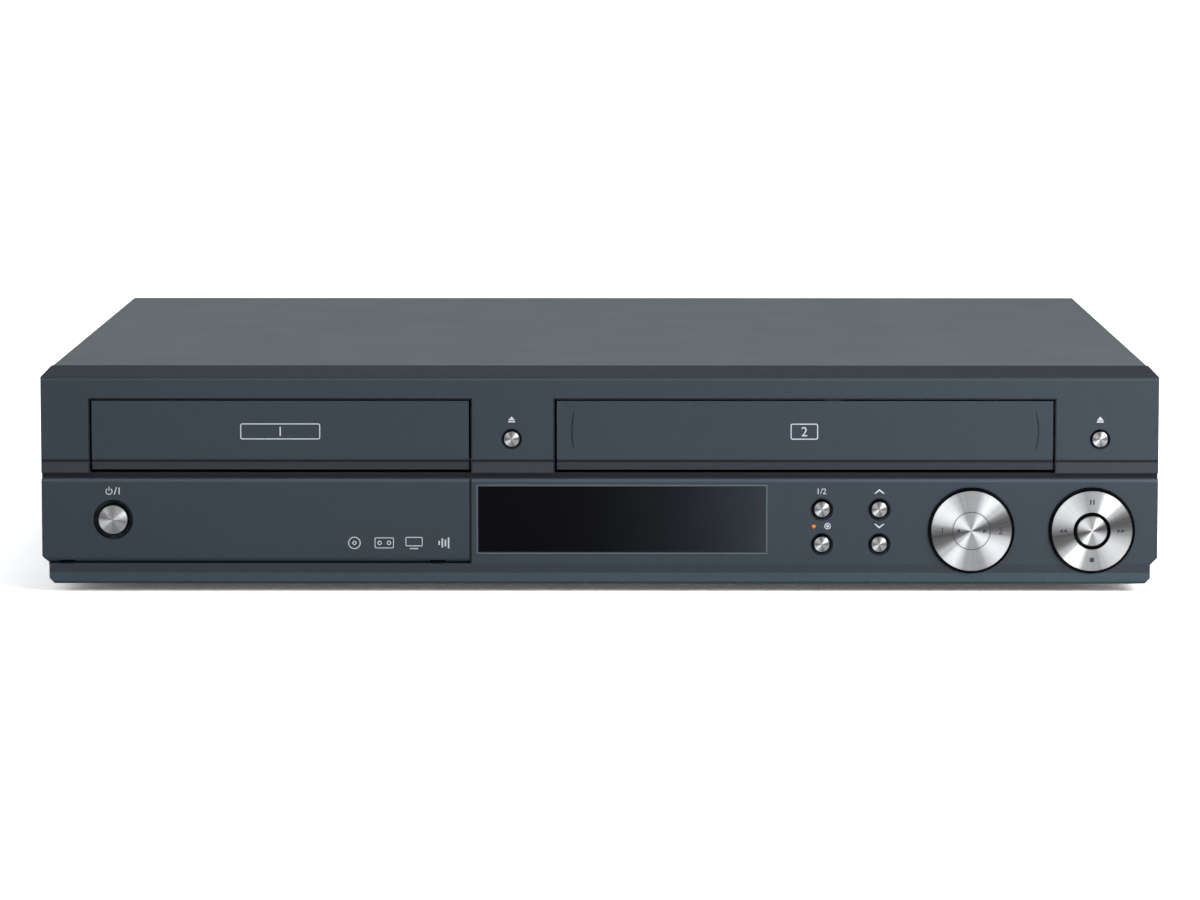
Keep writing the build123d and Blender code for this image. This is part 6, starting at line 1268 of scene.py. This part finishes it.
@dataclass
class Dials:
    """Two spun dials, the power button and the small keys; sizes in millimetres.

    Attributes:
        proud: How far the dial faces stand in front of the panel.
        copy_x: Middle of the left dial.
        play_x: Middle of the right dial.
        z: Height of both above the floor.
        arrow_x: Distance of the left dial's arrows from its middle.
        label_x: Distance of the outer signs from a dial's middle.
        rim: Radius where a dial's rim of painted shade starts.
        power_shade_rim: The same on the power button.
        key_shade_rim: The same on the small keys.
        groove: Radius of the left dial's groove, drawn as a dark line of painted shade.
        groove_width: Its width.
        silver: Colour of the metal.
        copy_painted_light_wedges: Wedges of painted highlight and painted shade on the left dial.
        play_painted_light_wedges: The same on the right dial.
        power_painted_light_wedges: The same on the power button.
        key_painted_light_wedges: The same on the small keys.
    """

    proud: float = 2.2
    copy_x: float = 143.2
    play_x: float = 189.6
    z: float = 24.2
    arrow_x: float = 5.2
    label_x: float = 11.2
    rim: float = 15.55
    power_shade_rim: float = 5.6
    key_shade_rim: float = 3.0
    groove: float = 7.35
    groove_width: float = 0.25
    silver: Colour = srgb(168, 169, 170)
    copy_painted_light_wedges: PaintedLightWedges = ((142, 32, 1.3), (60, 18, 0.6), (12, 24, -0.75))
    play_painted_light_wedges: PaintedLightWedges = ((136, 34, 0.9), (58, 18, 1.2), (14, 24, -0.75))
    power_painted_light_wedges: PaintedLightWedges = ((20, 28, 0.7), (172, 16, -0.3), (100, 30, -0.3))
    key_painted_light_wedges: PaintedLightWedges = ((40, 24, 0.9), (0, 18, -0.5), (100, 20, -0.5))

    def spun(self, node: str, painted_light_wedges: PaintedLightWedges, shade_rim_radius: float = 0.0) -> None:
        """Gives a node a turned finish about its own middle.

        Args:
            node: The node.
            painted_light_wedges: Its brighter and darker wedges of painted highlight and painted
                shade.
            shade_rim_radius: Radius of its rim of painted shade in millimetres, or 0.
        """
        low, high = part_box(node)
        centre = (low + high) / 2
        finish = Turned(f"turned_{node}", centre, colour=self.silver, painted_light_wedges=painted_light_wedges, shade_rim_radius=shade_rim_radius * MM)
        dress(finish.material(), node)

    def build(self) -> None:
        """Dresses the dials and keys and prints the dials."""
        self.spun("copy_rocker", self.copy_painted_light_wedges, self.rim)
        self.spun("play_ring", self.play_painted_light_wedges, self.rim)
        self.spun("play_button", self.play_painted_light_wedges)
        self.spun("power_button", self.power_painted_light_wedges, self.power_shade_rim)
        for key in ("disc_open", "tape_eject", "select", "record", "channel_up", "channel_down"):
            self.spun(f"{key}_button", self.key_painted_light_wedges, self.key_shade_rim)
        dress(DARK_GREY.material(), "ring_gimbal")
        ink = DARK_INK.material()
        copy, play = (Printer(body, ink, self.proud) for body in ("copy_rocker", "play_ring"))
        # Painted shade: a thin dark ring stands in for the shadow in the groove round the left
        # dial's cap.
        outer, inner = circle(self.groove, 64), circle(self.groove - self.groove_width, 64)
        copy.sign("copy_groove_shade", Sign(hollow=[(outer, inner)]), self.copy_x, self.z)
        for side, number in ((-1, "1"), (1, "2")):
            turn = -90 * side
            arrow = Sign([triangle(1.8, 1.5, turn)])
            copy.sign(f"copy_arrow_{number}", arrow, self.copy_x + side * self.arrow_x, self.z)
            x = self.copy_x + side * self.label_x
            copy.number(f"copy_number_{number}", number, 2.6, x, self.z)
            pair = Sign([triangle(1.7, 1.5, turn, -0.75), triangle(1.7, 1.5, turn, 0.75)])
            play.sign(f"search_sign_{number}", pair, self.play_x + side * self.label_x, self.z)
        stop = Sign([box_outline(1.7, 1.7)])
        play.sign("stop_sign", stop, self.play_x, self.z - self.label_x)
        pause = Sign([box_outline(0.55, 1.9, x=-0.6), box_outline(0.55, 1.9, x=0.6)])
        play.sign("pause_sign", pause, self.play_x, self.z + self.label_x)


@dataclass
class Inside:
    """Finishes of the disc drive, the cassette deck, the boards and the sockets.

    Attributes:
        board_faces: Low and high face of both main boards, in metres.
        front_jacks: Middles of the front sockets, in millimetres.
        rear_start: Middle of the rear's first column of sockets, in millimetres.
        rear_pitch: Distance between its columns.
        collar: Half width of a coloured collar, in metres.
    """

    board_faces: tuple[tuple[float, float], ...] = ((0.0108, 0.0124), (0.051, 0.0526))
    front_jacks: tuple[float, ...] = (-146.0, -130.0, -114.0)
    rear_start: float = -20.0
    rear_pitch: float = 15.0
    collar: float = 0.006

    def drives(self) -> None:
        """Dresses the disc drive and the cassette deck."""
        for finish, nodes in (
            (BLACK, ("disc_tray", "pickup_sled", "carriage_shuttle", "pinch_arm")),
            (DARK_GREY, ("loader_frame", "traverse_plate", "clamper", "fan_frame", "fan_rotor")),
            (IVORY, ("tray_drive_gear", "motor_pulley", "supply_reel", "take_up_reel")),
            (ZINC, ("drive_bracket", "clamp_bridge", "deck_plate", "slot_plates",
                    "cassette_holder")),
            (TIN, ("tray_motor", "tuner")),
            (BRIGHT, ("lead_screw", "supply_guide", "take_up_guide", "tape_heads")),
            (CAST, ("drum_base",)),
        ):
            dress(finish.material(), *nodes)
        for node in ("drum_rotor", "capstan", "turntable"):
            low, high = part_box(node)
            centre, steel = (low + high) / 2, srgb(190, 190, 188)
            dress(Turned(f"turned_{node}", centre, Axis.Z, steel, streak=0.06).material(), node)

    def boards(self) -> None:
        """Dresses the circuit boards and what stands on them."""
        dress(CircuitBoard("main_board_mask", Axis.Z, self.board_faces).material(), "main_boards")
        low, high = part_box("control_boards")
        upright = CircuitBoard("control_board_mask", Axis.Y, ((low.y, high.y),))
        dress(upright.material(), "control_boards")
        dress(BLACK.material(), "key_switches")

    def collars(self, name: str, node: str, front: float, back: float,
                places: Iterable[tuple[float, Colour]]) -> None:
        """Dresses a unit of sockets with coloured collars.

        Args:
            name: The finish's name.
            node: The node.
            front: Where the collars start along y, in metres.
            back: Where they end.
            places: Middle of each column of sockets in millimetres, and its colour.
        """
        low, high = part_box(node)
        bands = []
        for x, paint in places:
            corner = Vector((x * MM - self.collar, front, low.z))
            bands.append((corner, Vector((x * MM + self.collar, back, high.z)), paint))
        dress(Collared(name, srgb(30, 30, 32), tuple(bands)).material(), node)

    def sockets(self) -> None:
        """Dresses the sockets on the front and the back."""
        white, red, yellow = srgb(226, 226, 222), srgb(190, 34, 36), srgb(228, 190, 40)
        green, blue = srgb(40, 120, 60), srgb(36, 70, 160)
        low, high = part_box("input_jacks")
        places = zip(self.front_jacks, (yellow, white, red))
        self.collars("front_sockets", "input_jacks", low.y - 0.001, high.y, places)
        paints = (yellow, white, red, green, blue, red)
        places = [(self.rear_start + self.rear_pitch * i, paint) for i, paint in enumerate(paints)]
        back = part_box("jack_unit")[1].y + 0.001
        self.collars("rear_sockets", "jack_unit", REAR_Y - 0.002, back, places)
        dress(BLACK.material(), "mains_inlet")

    def build(self) -> None:
        """Dresses everything inside and behind."""
        self.drives()
        self.boards()
        self.sockets()


def main() -> None:
    """Builds the studio and dresses the player."""
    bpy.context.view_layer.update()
    for part in (Studio(), Enclosure(), FrontFace(), Dials(), Inside()):
        log.info("building %s", type(part).__name__)
        part.build()
    bpy.context.scene.view_settings.view_transform = "Standard"


if __name__ == "__main__":
    main()
